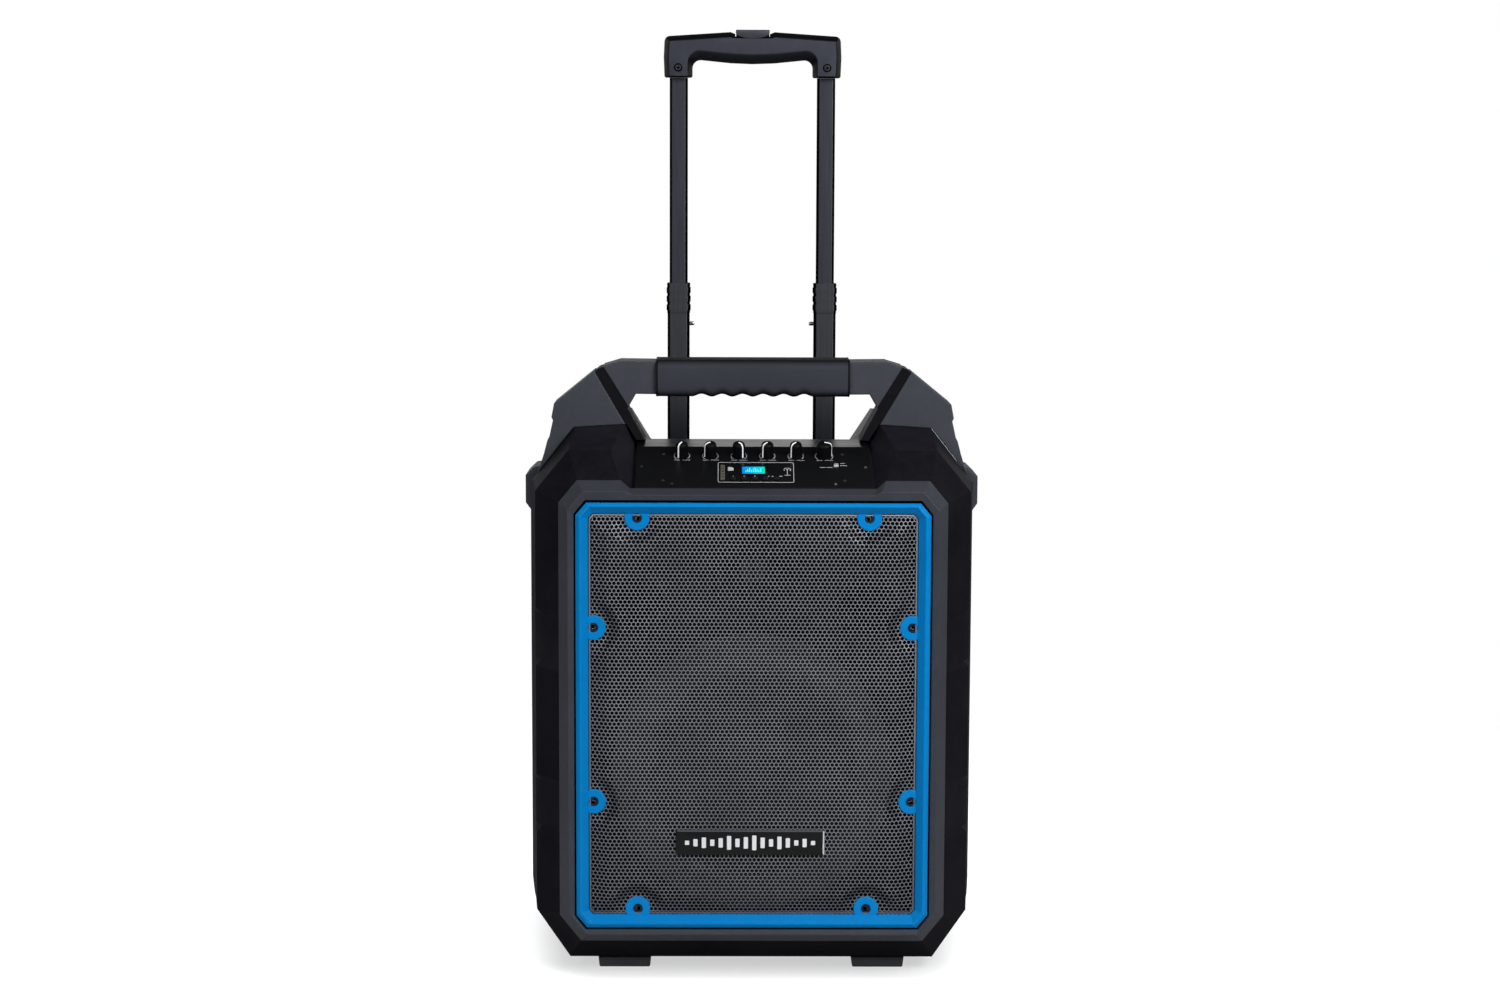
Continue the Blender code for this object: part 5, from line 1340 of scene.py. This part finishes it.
# =========================== wheels and feet =================================
TYRE_PROFILE = [(27.4, -10.5), (32.6, -10.5), (33.8, -9.8), (34.9, -7.6), (WHEEL_R, 0.0),
                (34.9, 7.6), (33.8, 9.8), (32.6, 10.5), (27.4, 10.5)]
HUB_PROFILE = [(5.4, -12.0), (10.4, -12.0), (11.0, -11.4), (12.0, -8.0), (24.0, -7.0),
               (25.6, -9.6), (27.1, -9.8), (27.1, 9.8), (25.6, 9.6), (24.0, 7.0), (12.0, 8.0),
               (11.0, 10.0), (10.4, 10.6), (5.4, 10.6)]
SPOKE = [(11.0, -2.6), (24.4, -1.8), (24.4, 1.8), (11.0, 2.6)]     # (from the axle, sideways)
FOOT_X, FOOT_HALF_W = 120.6, 24.4
for side, tag in SIDES:
    centre, axis, body = (side * WHEEL_X, WHEEL_Y, WHEEL_R), (side, 0, 0), "wheel_" + tag
    lathe(f"tyre_{tag}_fine", TYRE_PROFILE, centre, 144, TYRE, axis=axis, body=body,
          warp=notches(144, period=4, width=1, depth=0.022), piece="tyre_" + tag, smooth=25)
    lathe(f"hub_{tag}_fine", HUB_PROFILE, centre, 64, HUB, axis=axis, body=body,
          piece="wheel_hub_" + tag)
    for k in range(5):
        turn = 2 * math.pi * k / 5
        cos, sin = math.cos(turn), math.sin(turn)
        rings = [[(centre[0] + side * out, WHEEL_Y + (a * cos - b * sin),
                   WHEEL_R + (a * sin + b * cos)) for a, b in offset_poly(SPOKE, inset)]
                 for out, inset in ((6.6, 0), (9.0, 0), (9.6, 0.6))]
        loft(f"spoke_{tag}_{k}", rings, HUB, body=body, slot="wheel_hub_" + tag, smooth=30)
    x = side * FOOT_X
    prism(f"foot_{tag}_fine", fillet(rect(x - FOOT_HALF_W, x + FOOT_HALF_W, -98.0, -56.0), 2.0, 5),
          [(0.0, 1.0), (0.3, 0.5), (1.0, 0.2), (9.7, -0.8)], FOOT, axis="z", piece="foot_" + tag,
          smooth=40)
lathe("wheel_axle_fine", [(0, -213.0), (3.8, -213.0), (5.0, -212.0), (5.0, 212.0), (3.8, 213.0),
                          (0, 213.0)],
      (0, WHEEL_Y, WHEEL_R), 40, STEEL, axis=(1, 0, 0), piece="wheel_axle")


# =========================== stage, in metres ================================
def floor_material():
    """Pale to the camera and greyer to other rays; far out it glows like the backdrop."""
    material, tree, shader = new_material("floor_pale")
    vector = coords(tree)
    drift = remap(tree, noise(tree, vector, scale=3.0), span=(0.3, 0.7))
    color = tint(tree, (0.90, 0.90, 0.90), drift, spread=0.008)
    camera_ray = add_node(tree, "LightPath").outputs["Is Camera Ray"]
    feed(tree, shader, {
        "Base Color": mix_color(tree, camera_ray, (0.42, 0.42, 0.42, 1), color),
        "Roughness": 0.8,
        "Specular IOR Level": 0.1})
    distance = add_node(tree, "VectorMath", {0: vector}, operation='LENGTH').outputs["Value"]
    far = remap(tree, distance, span=(0.45, 1.5), to=(0.58, 1.0))
    strength = remap(tree, camera_ray, span=(0.0, 1.0), to=(0.12, 1.0))
    glow = add_node(tree, "Emission", {"Strength": strength})
    plain = tree.nodes["Principled BSDF"].outputs[0]
    both = add_node(tree, "MixShader", {0: far, 1: plain, 2: glow.outputs[0]})
    feed(tree, tree.nodes["Material Output"].inputs, {"Surface": both.outputs[0]})
    return material


FLOOR_HALF = 14.0
floor_mesh = bpy.data.meshes.new("floor")
floor_mesh.from_pydata([(x, y, 0) for x, y in rect(-FLOOR_HALF, FLOOR_HALF, -FLOOR_HALF,
                                                   FLOOR_HALF)], [], [(0, 1, 2, 3)])
floor = add_object("floor", floor_mesh)
floor_mesh.materials.append(floor_material())


def build_world():
    """White to the camera; other rays see dim light with a low glow behind the object."""
    world = bpy.data.worlds.new("studio")
    bpy.context.scene.world = world
    world.use_nodes = True
    tree = world.node_tree
    direction = split(tree, add_node(tree, "TexCoord").outputs["Generated"])
    behind = remap(tree, direction[1], span=(0.0, 0.5))
    low = remap(tree, direction[2], span=(0.24, 0.42), to=(1.0, 0.0))
    glow = calc(tree, 'MULTIPLY', calc(tree, 'MULTIPLY', behind, low), 0.85)
    value = calc(tree, 'ADD', glow, 0.10)
    camera_ray = add_node(tree, "LightPath").outputs["Is Camera Ray"]
    seen = calc(tree, 'MAXIMUM', camera_ray, value)
    feed(tree, tree.nodes["Background"].inputs, {0: (1.0, 1.0, 1.0, 1), 1: seen})


build_world()
bpy.context.scene.view_settings.view_transform = 'Standard'


def area_light(name, place, aim, size, power, only=None):
    """Square light aimed at a point; only limits it to one object."""
    data = bpy.data.lights.new(name, 'AREA')
    data.energy = power
    data.size = size
    data.color = (0.965, 0.98, 1.0)
    light = add_object(name, data)
    light.location = place
    light.rotation_mode = 'QUATERNION'
    light.rotation_quaternion = (Vector(aim) - Vector(place)).to_track_quat('-Z', 'Y')
    if only:
        lit = bpy.data.collections.new(name + "_lit")
        lit.objects.link(only)
        light.light_linking.receiver_collection = lit


area_light("fill", place=(-1.55, -2.45, 1.85), aim=(0, 0, 0.42), size=1.4, power=29)
area_light("key", place=(0.95, -1.40, 1.42), aim=(0, 0, 0.45), size=0.9, power=26)
area_light("floor_light", place=(0.0, -0.3, 3.0), aim=(0, 0, 0.0), size=3.2, power=240, only=floor)


def build_camera(aim, distance, pitch, heading, roll, lens):
    """Looks at the aim point; pitch is downwards, angles are in degrees."""
    data = bpy.data.cameras.new("camera")
    camera = add_object("camera", data)
    bpy.context.scene.camera = camera
    data.sensor_fit = 'HORIZONTAL'
    data.sensor_width = 36.0
    data.lens = lens
    data.clip_start, data.clip_end = 0.05, 60.0
    pitch, heading, roll = (math.radians(a) for a in (pitch, heading, roll))
    forward = Vector((-math.sin(heading) * math.cos(pitch), math.cos(heading) * math.cos(pitch),
                      -math.sin(pitch)))
    level = Vector((math.cos(heading), math.sin(heading), 0.0))
    upright = level.cross(forward)
    right = level * math.cos(roll) + upright * math.sin(roll)
    top = upright * math.cos(roll) - level * math.sin(roll)
    rotation = Matrix((right, top, -forward)).transposed().to_4x4()
    camera.matrix_world = Matrix.Translation(Vector(aim) - forward * distance) @ rotation


build_camera(aim=(-0.0032, -0.150, 0.4555), distance=2.601, pitch=6.9, heading=-0.5, roll=0.22,
             lens=68.016)
